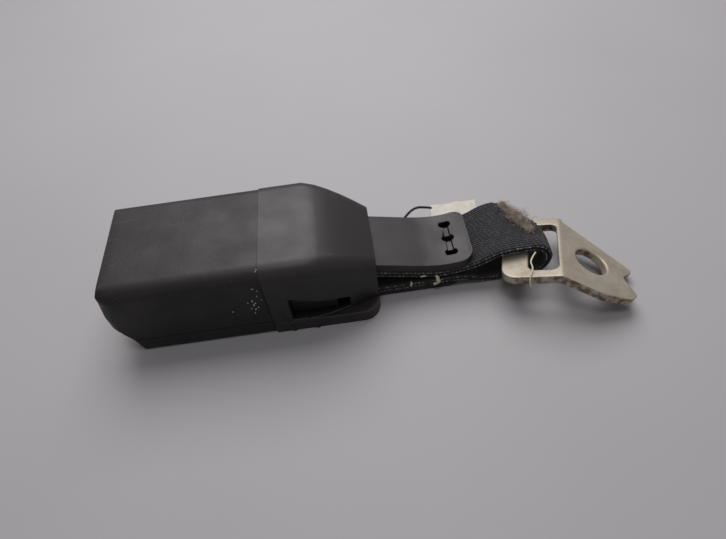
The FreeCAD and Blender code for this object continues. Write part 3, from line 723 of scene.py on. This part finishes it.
@dataclass
class Housing(Assembly):
    """The grained housing, its red button and the dust caught at its seam."""

    edge_mm: float = 0.3
    half_width: float = 20.5
    mouth_x: float = -27.8
    height: float = 31.0
    bulge_z: float = 17.0
    brow_back: float = 2.6
    corner_round: float = 6.0
    worn_round: float = 3.5
    moves_from: float = 0.78
    moves_fully: float = 0.99
    slack: float = 0.001
    cuts_behind: tuple[float, ...] = (0.1, 1.6)
    fade_cuts: tuple[float, ...] = (25.6, 24.0, 22.4, 20.8, 19.0)
    lowest: float = 8.0
    under_slope: float = 1.16
    sharp_degrees: float = 30
    crumb_mm: float = 0.3
    crumb_seed: int = 7
    crumb_least: Point = (0.4, 0.4, 0.4)
    crumb_most: Point = (1.4, 1.2, 1.0)
    crumb_places: tuple[Point, ...] = (
        (23.9, -17.83, 30.42), (23.5, -18.3, 30.1), (22.6, -20.5, 23.6), (19.9, -20.5, 18.9),
        (20.0, -20.5, 16.7), (20.1, -20.5, 14.4), (18.4, -20.5, 18.2), (21.2, -20.5, 15.3),
        (20.6, -20.5, 17.6), (22.9, -20.5, 18.9), (18.9, -20.5, 15.0), (12.7, -20.5, 14.6),
        (21.9, -20.5, 21.0), (21.4, -20.5, 24.9), (19.5, -20.5, 12.6))

    def build(self) -> None:
        """Makes the covers and the button, and sets the crumbs."""
        self.mount(self.full_cornered(), Body.ROOT, Slot.COVER, "back_cover")
        front = self.softened("front_cover", "front_cover_soft", self.edge_mm, COVER)
        self.mount(front, Body.ROOT, Slot.COVER, "front_cover")
        button = self.softened("release_button", "release_button_soft", self.edge_mm, BUTTON)
        self.mount(button, Body.BUTTON, Slot.BUTTON, "release_button")
        self.mount(self.crumbs(), Body.ROOT, Slot.COVER)

    def full_cornered(self) -> bpy.types.Object:
        """Copies the back cover with the fuller mouth corners that the moulding shows.

        Returns:
            The plain copy.
        """
        piece = self.copied("back_cover", "back_cover_copy", COVER, self.fill_corners)
        return evenly_shaded(piece, "back_cover_full", self.sharp_degrees)

    def fill_corners(self, work: bmesh.types.BMesh) -> None:
        """Cuts the walls where the change starts and fades, and moves the corners' points.

        Args:
            work: The cover's merged mesh.
        """
        start = self.mouth_x + self.corner_round
        planes = [((cut * MM, 0, 0), (1, 0, 0)) for cut in (start + c for c in self.cuts_behind)]
        planes += [((0, 0, cut * MM), (0, 0, 1)) for cut in self.fade_cuts]
        for place, normal in planes:
            bmesh.ops.bisect_plane(work, geom=work.verts[:] + work.edges[:] + work.faces[:],
                                   plane_co=place, plane_no=normal)
        for vert in work.verts:
            vert.co = self.corner(vert.co / MM) * MM

    def corner(self, spot: Vector) -> Vector:
        """Moves a point of the mouth's wide corner round out to the tighter round.

        Points on the round move fully, points a little inside it move less, and the inner
        walls stay. The change fades out with height, so the top keeps the wide round.

        Args:
            spot: A point of the cover in millimetres.

        Returns:
            The moved point, or the same one where it isn't near the corner round.
        """
        wide, tight = self.corner_round, self.worn_round
        fade_top, fade_low = self.fade_cuts[0], self.fade_cuts[-1]
        along = (spot.x - self.mouth_x - wide) / wide
        across = (abs(spot.y) - self.half_width + wide) / wide
        share = held((math.hypot(along, across) - self.moves_from)
                     / (self.moves_fully - self.moves_from))
        share *= held((fade_top - spot.z) / (fade_top - fade_low))
        if along > self.slack or across < -self.slack or share == 0 or spot.z < self.lowest:
            return spot
        x = spot.x + share * (self.mouth_x + tight + tight * along - spot.x)
        y = abs(spot.y) + share * (self.half_width - tight + tight * across - abs(spot.y))
        z = spot.z
        if z > self.bulge_z:
            rise = (z - self.bulge_z) / (self.height - self.bulge_z)
            x = max(x, self.mouth_x + self.brow_back * rise * rise)
        else:
            z += self.under_slope * (spot.x - x)
        return Vector((x, math.copysign(y, spot.y), z))

    def crumbs(self) -> bpy.types.Object:
        """Sets dry dust by the seam on the near side, thickest low down.

        Returns:
            The plain piece.
        """
        mesh = loose_points("seam_dust_points", [Vector(place) * MM for place in self.crumb_places])
        sizes = {"Crumb": self.crumb_mm * MM, "Seed": float(self.crumb_seed)}
        tree, given = open_tree("seam dust", sizes)
        seed = given.outputs["Seed"]
        grain = add_node(tree, "GeometryNodeMeshIcoSphere", {"Subdivisions": 2},
                         {"Radius": given.outputs["Crumb"]})
        turn = add_node(tree, "FunctionNodeRandomValue",
                        {"data_type": "FLOAT_VECTOR", "Min": (0, 0, 0), "Max": (FULL_TURN,) * 3},
                        {"Seed": seed})
        size = add_node(tree, "FunctionNodeRandomValue",
                        {"data_type": "FLOAT_VECTOR", "Min": self.crumb_least,
                         "Max": self.crumb_most}, {"Seed": seed})
        spread = add_node(tree, "GeometryNodeInstanceOnPoints", {},
                          {"Points": given.outputs["Geometry"], "Instance": grain,
                           "Rotation": turn, "Scale": size})
        return bake_tree(tree, spread, CRUMB, mesh, sizes, "seam_dust")


@dataclass
class Boot(Assembly):
    """The satin boot in its two halves, with softly broken edges."""

    edge_mm: float = 0.22

    def build(self) -> None:
        """Makes both halves with soft edges."""
        for node in ("boot_upper", "boot_lower"):
            half = self.softened(node, node + "_soft", self.edge_mm, BOOT)
            self.mount(half, Body.ROOT, Slot.BOOT, node)


@dataclass(frozen=True)
class Spring:
    """One wound spring, and the share of its length that is left at its joint's limit."""

    node: str
    turns: int
    axis: Axis
    joint: str
    kept: float


@dataclass
class Mechanism(Assembly):
    """Steel frame, latch, pins, ejector and the wound springs inside the housing."""

    wire_mm: float = 0.4
    facets_per_turn: int = 28
    wire_facets: int = 10
    springs: tuple[Spring, ...] = (
        Spring("ejector_spring", 7, Axis.X, "ejector_slide", 0.42),
        Spring("button_spring_near", 6, Axis.X, "button_press", 0.74),
        Spring("button_spring_far", 6, Axis.X, "button_press", 0.74),
        Spring("latch_spring_near", 4, Axis.Z, "latch_tilt", 0.75),
        Spring("latch_spring_far", 4, Axis.Z, "latch_tilt", 0.75))

    def build(self) -> None:
        """Dresses the hidden pieces and winds the springs."""
        for node in ("buckle_frame", "latch", "latch_pin", "lock_bar", "webbing_bar"):
            self.dress(node, FRAME_STEEL)
        for node in ("tongue_guide", "ejector"):
            self.dress(node, INNER)
        for spring in self.springs:
            self.wind(spring)

    def wind(self, spring: Spring) -> None:
        """Winds one spring in round wire where its node stands.

        Args:
            spring: The spring.
        """
        node, axis = spring.node, spring.axis.value
        low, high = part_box(node)
        middle = (low + high) / 2
        across = Axis.Z.value if spring.axis is Axis.X else Axis.X.value
        wire = self.wire_mm * MM
        sizes = {"Turns": float(spring.turns), "Coil": (high[across] - low[across]) / 2 - wire,
                 "Length": high[axis] - low[axis] - 2 * wire, "Wire": wire}
        tree, given = open_tree(node + " wire", sizes)
        line = add_node(tree, "GeometryNodeCurveSpiral", {"Resolution": self.facets_per_turn},
                        {"Rotations": given.outputs["Turns"], "Start Radius": given.outputs["Coil"],
                         "End Radius": given.outputs["Coil"], "Height": given.outputs["Length"]})
        section = add_node(tree, "GeometryNodeCurvePrimitiveCircle",
                           {"Resolution": self.wire_facets}, {"Radius": given.outputs["Wire"]})
        wound = add_node(tree, "GeometryNodeCurveToMesh", {"Fill Caps": True},
                         {"Curve": line, "Profile Curve": section})
        piece = bake_tree(tree, wound, SPRING_STEEL, loose_points(node + "_start", [(0, 0, 0)]),
                          sizes, node + "_wound")
        # The spiral rises along Z from the origin, so it is centred, turned and put in place.
        centred = Matrix.Translation((0, 0, -sizes["Length"] / 2))
        turned = Matrix.Identity(4)
        if spring.axis is Axis.X:
            turned = Matrix.Rotation(math.radians(90), 4, "Y")
        piece.data.transform(Matrix.Translation(middle) @ turned @ centred)
        self.mount(piece, Body.ROOT, Slot.SPRING, node)
        anchor = Vector(middle)
        anchor[axis] = high[axis]
        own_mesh(piece)


def arc(circle: Point, degrees: Sequence[float]) -> list[Vector]:
    """Gives points of a circle in x and z.

    Args:
        circle: The centre's x and z, and the radius.
        degrees: The points' angles from +X towards +Z.

    Returns:
        The points.
    """
    x, z, radius = circle
    return [Vector((x + radius * math.cos(math.radians(angle)),
                    z + radius * math.sin(math.radians(angle)))) for angle in degrees]


def half_turn(steps: int) -> list[tuple[float, float]]:
    """Gives the sine and the cosine of the even steps inside a half turn.

    Args:
        steps: How many steps the half turn has.

    Returns:
        The pairs, without those of its two ends.
    """
    return [(math.sin(math.pi * i / steps), math.cos(math.pi * i / steps))
            for i in range(1, steps)]


@dataclass
class WebbingLoop(Assembly):
    """Webbing folded in half along its length, in a loop from the frame's bar to the plate."""

    near_y: float = -11.75
    far_y: float = 11.75
    layer: float = 1.15
    gap: float = 0.3
    bar: Point = (40.5, 12.0, 4.5)
    loop: Point = (112.6, 8.0, 6.6)
    top: tuple[Band, ...] = ((60.3, 12.4), (68.6, 10.4), (81.9, 7.9), (93.5, 9.8), (102.5, 14.0))
    low: tuple[Band, ...] = ((103.3, 1.6), (96.3, 1.75), (89.3, 4.0), (74.8, 3.8), (60.3, 3.8),
                             (50.4, 5.5))
    trim_start: float = 105.0
    trim_end: float = 114.5
    trimmed_far_y: float = 1.6
    bunch_length: float = 5.0
    bunch_depth: float = 5.0
    ripple_from: float = 95.0
    ripple_length: float = 20.0
    ripple_flat: float = 0.12
    ripple_bunched: float = 0.35
    ripple_pitch: Point = (0.16, 0.2, 0.2)
    fold_steps: int = 8
    edge_steps: int = 6
    guide_steps: int = 24
    stations: int = 230
    across_count: int = 22
    floor_gap: float = 0.12
    rib_pitch: float = 0.84
    rib_start: float = 0.7
    float_pitch: float = 1.4
    float_length_share: float = 0.52
    float_width_share: float = 0.47
    float_height: float = 0.11
    fold_bare_share: float = 0.4
    zigzag_ribs: int = 8
    floats_from: float = 55.0
    float_floor_gap: float = 0.16
    selvedge_offset: float = 0.75
    selvedge_out: float = 0.02
    selvedge_radius: float = 0.2
    selvedge_floor_gap: float = 0.4

    def build(self) -> None:
        """Makes the folded strap, its yarn floats and its edges, whose light flecks are rubbed yarn
        and painted highlight.
        """
        strap = self.strap()
        strap.data.materials.append(WEBBING.make())
        self.mount(strap, Body.ROOT, Slot.WEBBING, "webbing_strap")
        self.mount(self.floats(), Body.ROOT, Slot.WEBBING)
        for name, offset in (("selvedge_upper", self.selvedge_offset),
                             ("selvedge_lower", -self.selvedge_offset)):
            self.mount(self.edge_cord(name, offset), Body.ROOT, Slot.WEBBING)

    def control_points(self) -> list[Vector]:
        """Gives the closed centre line's guide points.

        Returns:
            Points in x and z, in millimetres, round the bar, over the top, round the plate's
            bar and back below.
        """
        points = arc(self.bar, (180, 150, 120, 90))
        points += [Vector(p) for p in self.top]
        points += arc(self.loop, (90, 60, 30, 0, -30, -60, -90))
        points += [Vector(p) for p in self.low]
        return points + arc(self.bar, (270, 240, 210))

    def centre_line(self) -> list[tuple[Vector, Vector]]:
        """Runs a smooth closed line through the guide points.

        Returns:
            Evenly spaced places on the line, each with its outward normal.
        """
        guide = self.control_points()
        count = len(guide)
        fine = []
        for i in range(count):
            p0, p1, p2, p3 = (guide[(i + k) % count] for k in (-1, 0, 1, 2))
            for step in range(self.guide_steps):
                t = step / self.guide_steps
                fine.append(0.5 * ((2 * p1) + (p2 - p0) * t
                                   + (2 * p0 - 5 * p1 + 4 * p2 - p3) * t * t
                                   + (3 * p1 - p0 - 3 * p2 + p3) * t ** 3))
        lengths = [0.0]
        for a, b in zip(fine, fine[1:] + fine[:1]):
            lengths.append(lengths[-1] + (b - a).length)
        even, k = [], 0
        for i in range(self.stations):
            want = lengths[-1] * i / self.stations
            while lengths[k + 1] < want:
                k += 1
            share = (want - lengths[k]) / max(lengths[k + 1] - lengths[k], 1e-9)
            even.append(fine[k].lerp(fine[(k + 1) % len(fine)], share))
        line = []
        for i, place in enumerate(even):
            ahead = even[(i + 1) % self.stations] - even[i - 1]
            ahead.normalize()
            line.append((place, Vector((-ahead.y, ahead.x))))
        return line

    def far_edge(self, x: float) -> float:
        """Finds the folded edge, which is drawn in where the webbing bunches in the slot.

        Args:
            x: The place along the buckle.

        Returns:
            The edge's y.
        """
        share = held((x - self.trim_start) / (self.trim_end - self.trim_start))
        bunch = held((x - self.trim_end) / self.bunch_length)
        return self.far_y + (self.trimmed_far_y - self.far_y) * share - self.bunch_depth * bunch

    def fold(self, far: float) -> list[tuple[float, float]]:
        """Draws the folded webbing's closed outline across the strap.

        Args:
            far: The y of the folded edge.

        Returns:
            Pairs of y and height: over the top, round the fold, back below, round the lower
            layer's edge, in and out between the layers, and round the upper layer's edge.
        """
        half = self.layer + self.gap / 2
        soft = self.layer / 2
        start, end = self.near_y + soft, far - half
        middle = (start + end) / 2
        steps = [start + (end - start) * i / self.across_count
                 for i in range(self.across_count + 1)]
        outline = [(y, half) for y in steps]
        outline += [(end + half * s, half * c) for s, c in half_turn(self.fold_steps)]
        outline += [(y, -half) for y in reversed(steps)]
        edge = half_turn(self.edge_steps)
        outline += [(start - soft * s, -half + soft - soft * c) for s, c in edge]
        outline += [(y, -self.gap / 2) for y in (start, middle, end)]
        outline += [(y, self.gap / 2) for y in (end, middle, start)]
        outline += [(start - soft * s, half - soft - soft * c) for s, c in edge]
        return outline

    def ripple(self, place: Vector, y: float) -> float:
        """Lifts the cloth in slow waves, more where it bunches.

        Args:
            place: The place on the centre line.
            y: The place across the strap.

        Returns:
            The lift in millimetres.
        """
        bunched = held((place.x - self.ripple_from) / self.ripple_length)
        wave = noise.noise(Vector((place.x, y, place.y)) * Vector(self.ripple_pitch))
        return wave * (self.ripple_flat + self.ripple_bunched * bunched)

    def strap(self) -> bpy.types.Object:
        """Makes the folded strap as one closed tube of cloth.

        Returns:
            The plain piece.
        """
        points, faces = [], []
        size = len(self.fold(self.far_y))
        for place, outward in self.centre_line():
            for y, height in self.fold(self.far_edge(place.x)):
                spot = place + outward * (height + self.ripple(place, y))
                points.append((spot.x * MM, y * MM, max(spot.y, self.floor_gap) * MM))
        for i in range(self.stations):
            following = (i + 1) % self.stations
            for j in range(size):
                k = (j + 1) % size
                faces.append((i * size + j, following * size + j,
                              following * size + k, i * size + k))
        return mesh_object("webbing_folded", points, faces)

    def float_points(self) -> bpy.types.Mesh:
        """Places the warp floats in a herringbone over the strap's outer face.

        Returns:
            A mesh of points, each with the directions that its float lies and stands in.
        """
        line = self.centre_line()
        half = self.layer + self.gap / 2
        length = sum((line[(i + 1) % len(line)][0] - line[i][0]).length for i in range(len(line)))
        along_count = int(length / self.float_pitch)
        half_zigzag = self.zigzag_ribs / 2
        points, aheads, outs = [], [], []
        for column in range(int((self.far_y - self.near_y) / self.rib_pitch)):
            zigzag = abs((column % self.zigzag_ribs) - half_zigzag) / half_zigzag
            y = self.near_y + (column + self.rib_start) * self.rib_pitch
            for row in range(along_count):
                position = ((row + zigzag) % along_count) / along_count * len(line)
                i = int(position) % len(line)
                j = (i + 1) % len(line)
                t = position - int(position)
                place = line[i][0].lerp(line[j][0], t)
                outward = line[i][1].lerp(line[j][1], t).normalized()
                bare_from = self.far_edge(place.x) - half * self.fold_bare_share
                if y > bare_from or place.x < self.floats_from:
                    continue
                spot = place + outward * (half + self.ripple(place, y))
                points.append((spot.x * MM, y * MM, max(spot.y, self.float_floor_gap) * MM))
                aheads.append((outward.y, 0.0, -outward.x))
                outs.append((outward.x, 0.0, outward.y))
        mesh = loose_points("float_points", points)
        for label, values in (("ahead", aheads), ("outward", outs)):
            kept = mesh.attributes.new(label, "FLOAT_VECTOR", "POINT")
            kept.data.foreach_set("vector", [c for v in values for c in v])
        return mesh

    def floats(self) -> bpy.types.Object:
        """Lays the warp yarn floats of a herringbone twill on the strap.

        Real floats are about half this pitch. They are drawn coarser so that the weave shows.

        Returns:
            The plain piece.
        """
        sizes = {"Long": self.float_pitch * self.float_length_share * MM,
                 "Wide": self.rib_pitch * self.float_width_share * MM,
                 "High": self.float_height * MM}
        tree, given = open_tree("warp floats", sizes)
        bead = add_node(tree, "GeometryNodeMeshIcoSphere", {"Radius": 1.0, "Subdivisions": 1})
        ahead, outward = (add_node(tree, "GeometryNodeInputNamedAttribute",
                                   {"data_type": "FLOAT_VECTOR", "Name": label})
                          for label in ("ahead", "outward"))
        lie = add_node(tree, "FunctionNodeAlignRotationToVector", {"axis": "X"}, {"Vector": ahead})
        stand = add_node(tree, "FunctionNodeAlignRotationToVector",
                         {"axis": "Z", "pivot_axis": "X"}, {"Rotation": lie, "Vector": outward})
        scale = add_node(tree, "ShaderNodeCombineXYZ", {},
                         {"X": given.outputs["Long"], "Y": given.outputs["Wide"],
                          "Z": given.outputs["High"]})
        laid = add_node(tree, "GeometryNodeInstanceOnPoints", {},
                        {"Points": given.outputs["Geometry"], "Instance": bead,
                         "Rotation": stand, "Scale": scale})
        return bake_tree(tree, laid, WEBBING_RIB, self.float_points(), sizes, "webbing_floats")

    def edge_cord(self, name: str, offset: float) -> bpy.types.Object:
        """Makes the selvedge of one layer, a thin cord along the near edge, with light flecks of
        rubbed yarn and painted highlight.

        Args:
            name: The piece's name.
            offset: Height of the layer's middle from the strap's middle, in millimetres.

        Returns:
            The plain piece.
        """
        spots = [place + outward * offset for place, outward in self.centre_line()]
        places = [(spot.x, self.near_y - self.selvedge_out, max(spot.y, self.selvedge_floor_gap))
                  for spot in spots]
        return cord(name, places, self.selvedge_radius, SELVEDGE_RUB_AND_HIGHLIGHT, closed=True)


@dataclass
class Tag(Assembly):
    """Blank cream tape folded over and sewn between the webbing's runs."""

    start_x: float = 84.0
    length: float = 17.0
    inner_y: float = 6.0
    free_from: float = 11.9
    outer_y: float = 20.2
    low_z: float = 6.0
    high_z: float = 6.4
    rise: float = 2.6
    cockle: float = 0.5
    cockle_pitch: Band = (0.25, 0.1)
    cockle_place: float = 3.0
    cloth: float = 0.14
    fold_round: float = 0.2
    columns: int = 24
    rows: int = 8
    sharp_degrees: float = 40
    seam_y: float = 13.0
    seam_height: float = 0.45
    stitch_pitch: float = 1.3
    stitch_length: float = 0.5
    stitch_radius: float = 0.13
    thread_radius: float = 0.45
    thread_places: tuple[Point, ...] = ((71.0, 12.4, 8.6), (75.0, 16.6, 9.9), (78.6, 18.9, 10.4),
                                        (82.0, 19.3, 9.4), (84.6, 19.2, 8.7))

    def build(self) -> None:
        """Makes the tape, its seam and the thread that holds it."""
        tape = self.tape()
        self.mount(tape, Body.ROOT, Slot.LABEL, "webbing_label")
        seam = self.seam()
        self.mount(seam, Body.ROOT, Slot.LABEL)
        holder = cord("label_thread", self.thread_places, self.thread_radius, WEBBING)
        self.mount(holder, Body.ROOT, Slot.WEBBING)

    def tape(self) -> bpy.types.Object:
        """Makes the folded tape, slightly cockled along its free edge.

        Returns:
            The plain piece.
        """
        run = self.outer_y - self.fold_round - self.inner_y
        path = [(self.inner_y + run * i / self.rows, self.high_z) for i in range(self.rows + 1)]
        back = [(y, self.low_z) for y, _ in reversed(path)]
        path += [(self.outer_y, (self.high_z + self.low_z) / 2)] + back
        points, faces = [], []
        for i in range(self.columns + 1):
            x = self.start_x + self.length * i / self.columns
            for y, z in path:
                free = max(0.0, (y - self.free_from) / (self.outer_y - self.free_from))
                wave = noise.noise(Vector((x * self.cockle_pitch[0], y * self.cockle_pitch[1],
                                           self.cockle_place)))
                lift = free * (self.rise + self.cockle * wave)
                points.append((x * MM, y * MM, (z + lift) * MM))
        size = len(path)
        for i in range(self.columns):
            for j in range(size - 1):
                faces.append((i * size + j, (i + 1) * size + j,
                              (i + 1) * size + j + 1, i * size + j + 1))
        sheet = mesh_object("label_tape", points, faces)
        sheet.data.materials.append(TAPE.make())
        thick = sheet.modifiers.new("cloth", "SOLIDIFY")
        thick.thickness = self.cloth * MM
        thick.offset = 0.0
        piece = settled(sheet, "label_tape")
        piece.data.shade_smooth()
        piece.data.set_sharp_from_angle(angle=math.radians(self.sharp_degrees))
        return piece

    def seam(self) -> bpy.types.Object:
        """Sews one row of stitches along the tape, close to the webbing.

        Returns:
            The plain piece.
        """
        count = int(self.length / self.stitch_pitch)
        points = [((self.start_x + (i + 0.5) * self.stitch_pitch) * MM, self.seam_y * MM,
                   (self.high_z + self.seam_height) * MM) for i in range(count)]
        sizes = {"Long": self.stitch_length * MM, "Thick": self.stitch_radius * MM}
        tree, given = open_tree("label stitches", sizes)
        bead = add_node(tree, "GeometryNodeMeshUVSphere",
                        {"Radius": 1.0, "Segments": 8, "Rings": 6})
        scale = add_node(tree, "ShaderNodeCombineXYZ", {},
                         {"X": given.outputs["Long"], "Y": given.outputs["Thick"],
                          "Z": given.outputs["Thick"]})
        laid = add_node(tree, "GeometryNodeInstanceOnPoints", {},
                        {"Points": given.outputs["Geometry"], "Instance": bead, "Scale": scale})
        return bake_tree(tree, laid, THREAD, loose_points("seam_points", points), sizes,
                         "label_stitches")


@dataclass(frozen=True)
class ThreadEnd:
    """One loose end of sewing thread."""

    name: str
    radius: float
    places: tuple[Point, ...]


@dataclass
class Lint(Assembly):
    """Dusty fibres caught in the webbing near the plate, and loose thread ends."""

    seed: int = 11
    fibres: int = 1150
    pile_height: float = 0.45
    end_margin: float = 0.001
    fibre_reach: float = 2.0
    fibre_radius: float = 0.07
    least_turn: Point = (-0.5, -0.7, 0.0)
    most_turn: Point = (0.5, 0.3, FULL_TURN)
    least_size: Point = (0.3, 0.3, 0.3)
    most_size: Point = (1.0, 1.2, 0.9)
    spine: tuple[Point, ...] = ((107.2, 8.9, 16.3), (108.8, 5.4, 16.1), (111.2, 2.0, 16.1),
                                (112.8, -0.8, 15.9), (113.4, -4.4, 15.7))
    widths: tuple[float, ...] = (0.6, 1.7, 2.8, 2.4, 1.1)
    loop_ends: tuple[ThreadEnd, ...] = (
        ThreadEnd("thread_knot", 0.5,
                  ((80.3, -12.1, 7.6), (81.3, -12.5, 6.9), (80.5, -12.6, 6.0), (81.7, -12.6, 5.3),
                   (80.9, -12.4, 4.3), (79.8, -12.1, 3.2))),
        ThreadEnd("thread_end_rear", 0.3,
                  ((71.6, -11.9, 5.9), (72.3, -12.3, 5.2), (71.5, -12.2, 4.3))),
        ThreadEnd("thread_end_upper", 0.22,
                  ((75.2, -12.0, 8.2), (76.0, -12.2, 8.6), (76.9, -12.0, 8.3))))
    plate_end: ThreadEnd = ThreadEnd(
        "thread_end_plate", 0.24,
        ((112.9, -13.9, 15.0), (111.6, -15.6, 15.9), (109.6, -18.4, 16.2), (109.9, -21.0, 16.2),
         (108.4, -23.2, 15.6), (108.0, -24.8, 13.4), (108.5, -25.2, 12.2)))

    def build(self) -> None:
        """Makes the tuft and the thread ends, the last of which lies on the plate."""
        self.mount(self.tuft(), Body.ROOT, Slot.WEBBING)
        for end in self.loop_ends:
            self.mount(cord(end.name, end.places, end.radius, THREAD), Body.ROOT, Slot.WEBBING)
        end = self.plate_end
        self.mount(cord(end.name, end.places, end.radius, THREAD), Body.ANCHOR, Slot.WEBBING)

    def tuft_points(self) -> bpy.types.Mesh:
        """Scatters the fibres' roots along a spine over the loop.

        Returns:
            A mesh of points.
        """
        chance = random.Random(self.seed)
        points = []
        for _ in range(self.fibres):
            along = chance.random() * (len(self.spine) - 1 - self.end_margin)
            i, t = int(along), along % 1.0
            middle = Vector(self.spine[i]).lerp(Vector(self.spine[i + 1]), t)
            wide = self.widths[i] + (self.widths[i + 1] - self.widths[i]) * t
            spot = Vector((chance.gauss(0, wide / 2), chance.gauss(0, wide / 2),
                           abs(chance.gauss(0, self.pile_height))))
            points.append((middle + spot) * MM)
        return loose_points("lint_points", points)

    def tuft(self) -> bpy.types.Object:
        """Grows one curled fibre from each root.

        Returns:
            The plain piece.
        """
        sizes = {"Reach": self.fibre_reach * MM, "Fibre": self.fibre_radius * MM,
                 "Seed": float(self.seed)}
        tree, given = open_tree("lint fibres", sizes)
        reach, seed = given.outputs["Reach"], given.outputs["Seed"]
        bend = add_node(tree, "GeometryNodeCurveQuadraticBezier",
                        {"Resolution": 7, "Start": (0, 0, 0), "Middle": (0.5, 0.5, 0.35),
                         "End": (1.0, -0.1, 0.1)})
        grown = add_node(tree, "ShaderNodeCombineXYZ", {}, {"X": reach, "Y": reach, "Z": reach})
        sized = add_node(tree, "GeometryNodeTransform", {}, {"Geometry": bend, "Scale": grown})
        hair = add_node(tree, "GeometryNodeCurvePrimitiveCircle", {"Resolution": 4},
                        {"Radius": given.outputs["Fibre"]})
        fibre = add_node(tree, "GeometryNodeCurveToMesh", {},
                         {"Curve": sized, "Profile Curve": hair})
        turn = add_node(tree, "FunctionNodeRandomValue",
                        {"data_type": "FLOAT_VECTOR", "Min": self.least_turn,
                         "Max": self.most_turn}, {"Seed": seed})
        size = add_node(tree, "FunctionNodeRandomValue",
                        {"data_type": "FLOAT_VECTOR", "Min": self.least_size,
                         "Max": self.most_size}, {"Seed": seed})
        laid = add_node(tree, "GeometryNodeInstanceOnPoints", {},
                        {"Points": given.outputs["Geometry"], "Instance": fibre,
                         "Rotation": turn, "Scale": size})
        return bake_tree(tree, laid, LINT, self.tuft_points(), sizes, "lint_tuft")


@dataclass
class AnchorPlate(Assembly):
    """The bent steel plate with its edges rounded by the press tool and the barrel plating."""

    grid_mm: float = 0.26
    rounding_factor: float = 0.5
    rounding_steps: int = 5

    def build(self) -> None:
        """Makes the plate with rounded edges."""
        self.mount(self.tumbled(), Body.ANCHOR, Slot.PLATE, "anchor_plate")

    def tumbled(self) -> bpy.types.Object:
        """Rebuilds the plate on a fine grid and rounds its edges evenly.

        Returns:
            The plain piece.
        """
        name = "anchor_plate_tumbled"
        carrier = self.copied("anchor_plate", name, PLATE_STEEL)
        grid = carrier.modifiers.new("grid", "REMESH")
        grid.mode = "VOXEL"
        grid.voxel_size = self.grid_mm * MM
        rounding = carrier.modifiers.new("rounding", "SMOOTH")
        rounding.factor = self.rounding_factor
        rounding.iterations = self.rounding_steps
        piece = settled(carrier, name)
        piece.data.materials.clear()
        piece.data.materials.append(PLATE_STEEL.make())
        piece.data.shade_smooth()
        return piece


@dataclass(frozen=True)
class Softbox:
    """A square soft lamp: its place and side in metres, and its power in watts."""

    name: str
    place: Point
    size: float
    power: float


@dataclass
class Studio:
    """Camera, soft lamps and a plain pale tabletop."""

    place: Point = (0.056, -0.1284, 0.1591)
    right: Point = (0.9903, -0.1079, -0.0880)
    up: Point = (0.1392, 0.7675, 0.6259)
    back: Point = (0.0, -0.6321, 0.7751)
    lens_mm: float = 27.77
    sensor_mm: float = 36.0
    nearest: float = 0.005
    lamps: tuple[Softbox, ...] = (Softbox("far_softbox", (0.05, 0.33, 0.52), 0.5, 3.1),
                                  Softbox("overhead_strip", (0.04, -0.10, 0.62), 0.16, 0.5))
    lamp_colour: Point = (1.0, 0.965, 0.97)
    lamp_aim: Point = (0.056, 0.0, 0.0)
    dim_strength: float = 0.14
    dim_colour: tuple[float, ...] = (1.0, 1.0, 1.0, 1.0)
    pale_colour: tuple[float, ...] = (0.50, 0.48, 0.49, 1.0)
    floor_half: float = 3.0

    def build(self) -> None:
        """Sets the camera, the lamps, the world and the floor."""
        self.camera()
        for lamp in self.lamps:
            self.hang(lamp)
        self.world()
        self.floor()
        bpy.context.scene.view_settings.view_transform = "Standard"

    def camera(self) -> None:
        """Puts the camera where the photograph was taken from."""
        data = bpy.data.cameras.new("camera")
        data.sensor_width = self.sensor_mm
        data.lens = self.lens_mm
        data.clip_start = self.nearest
        camera = placed("camera", data)
        rows = [(self.right[i], self.up[i], self.back[i], self.place[i]) for i in range(3)]
        camera.matrix_world = Matrix((*rows, (0.0, 0.0, 0.0, 1.0)))
        bpy.context.scene.camera = camera

    def hang(self, softbox: Softbox) -> None:
        """Hangs one softbox that faces the object.

        Args:
            softbox: The lamp.
        """
        data = bpy.data.lights.new(softbox.name, "AREA")
        data.size = softbox.size
        data.energy = softbox.power
        data.color = self.lamp_colour
        lamp = placed(softbox.name, data)
        lamp.location = softbox.place
        aim = Vector(self.lamp_aim) - Vector(softbox.place)
        lamp.rotation_euler = aim.to_track_quat("-Z", "Y").to_euler()

    def world(self) -> None:
        """Makes a dim even surround that the camera, gloss and clear things see as pale."""
        world = bpy.data.worlds.new("studio")
        bpy.context.scene.world = world
        world.use_nodes = True
        tree = world.node_tree
        tree.nodes.clear()
        path = add_node(tree, "ShaderNodeLightPath")
        clear = add_node(tree, "ShaderNodeMath", {"operation": "MAXIMUM"},
                         {0: path.outputs["Is Camera Ray"], 1: path.outputs["Is Transmission Ray"]})
        seen = add_node(tree, "ShaderNodeMath", {"operation": "MAXIMUM"},
                        {0: clear, 1: path.outputs["Is Glossy Ray"]})
        dim = add_node(tree, "ShaderNodeBackground",
                       {"Color": self.dim_colour, "Strength": self.dim_strength})
        pale = add_node(tree, "ShaderNodeBackground", {"Color": self.pale_colour, "Strength": 1.0})
        mixed = add_node(tree, "ShaderNodeMixShader", {}, {0: seen, 1: dim, 2: pale})
        add_node(tree, "ShaderNodeOutputWorld", {}, {"Surface": mixed})

    def floor(self) -> None:
        """Lays the plain pale tabletop under the object."""
        half = self.floor_half
        corners = [(-half, -half, 0), (half, -half, 0), (half, half, 0), (-half, half, 0)]
        floor = mesh_object("floor", corners, [(0, 1, 2, 3)])
        floor.data.materials.append(TABLETOP.make())


def main() -> None:
    """Builds every group in order."""
    logging.basicConfig(level=logging.INFO, format="%(name)s %(message)s")
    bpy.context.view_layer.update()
    Studio().build()
    for group in (Housing(), Boot(), Mechanism(), WebbingLoop(), Tag(), Lint(), AnchorPlate()):
        LOG.info("building %s", type(group).__name__)
        group.build()
    bpy.context.view_layer.update()


if __name__ == "__main__":
    main()
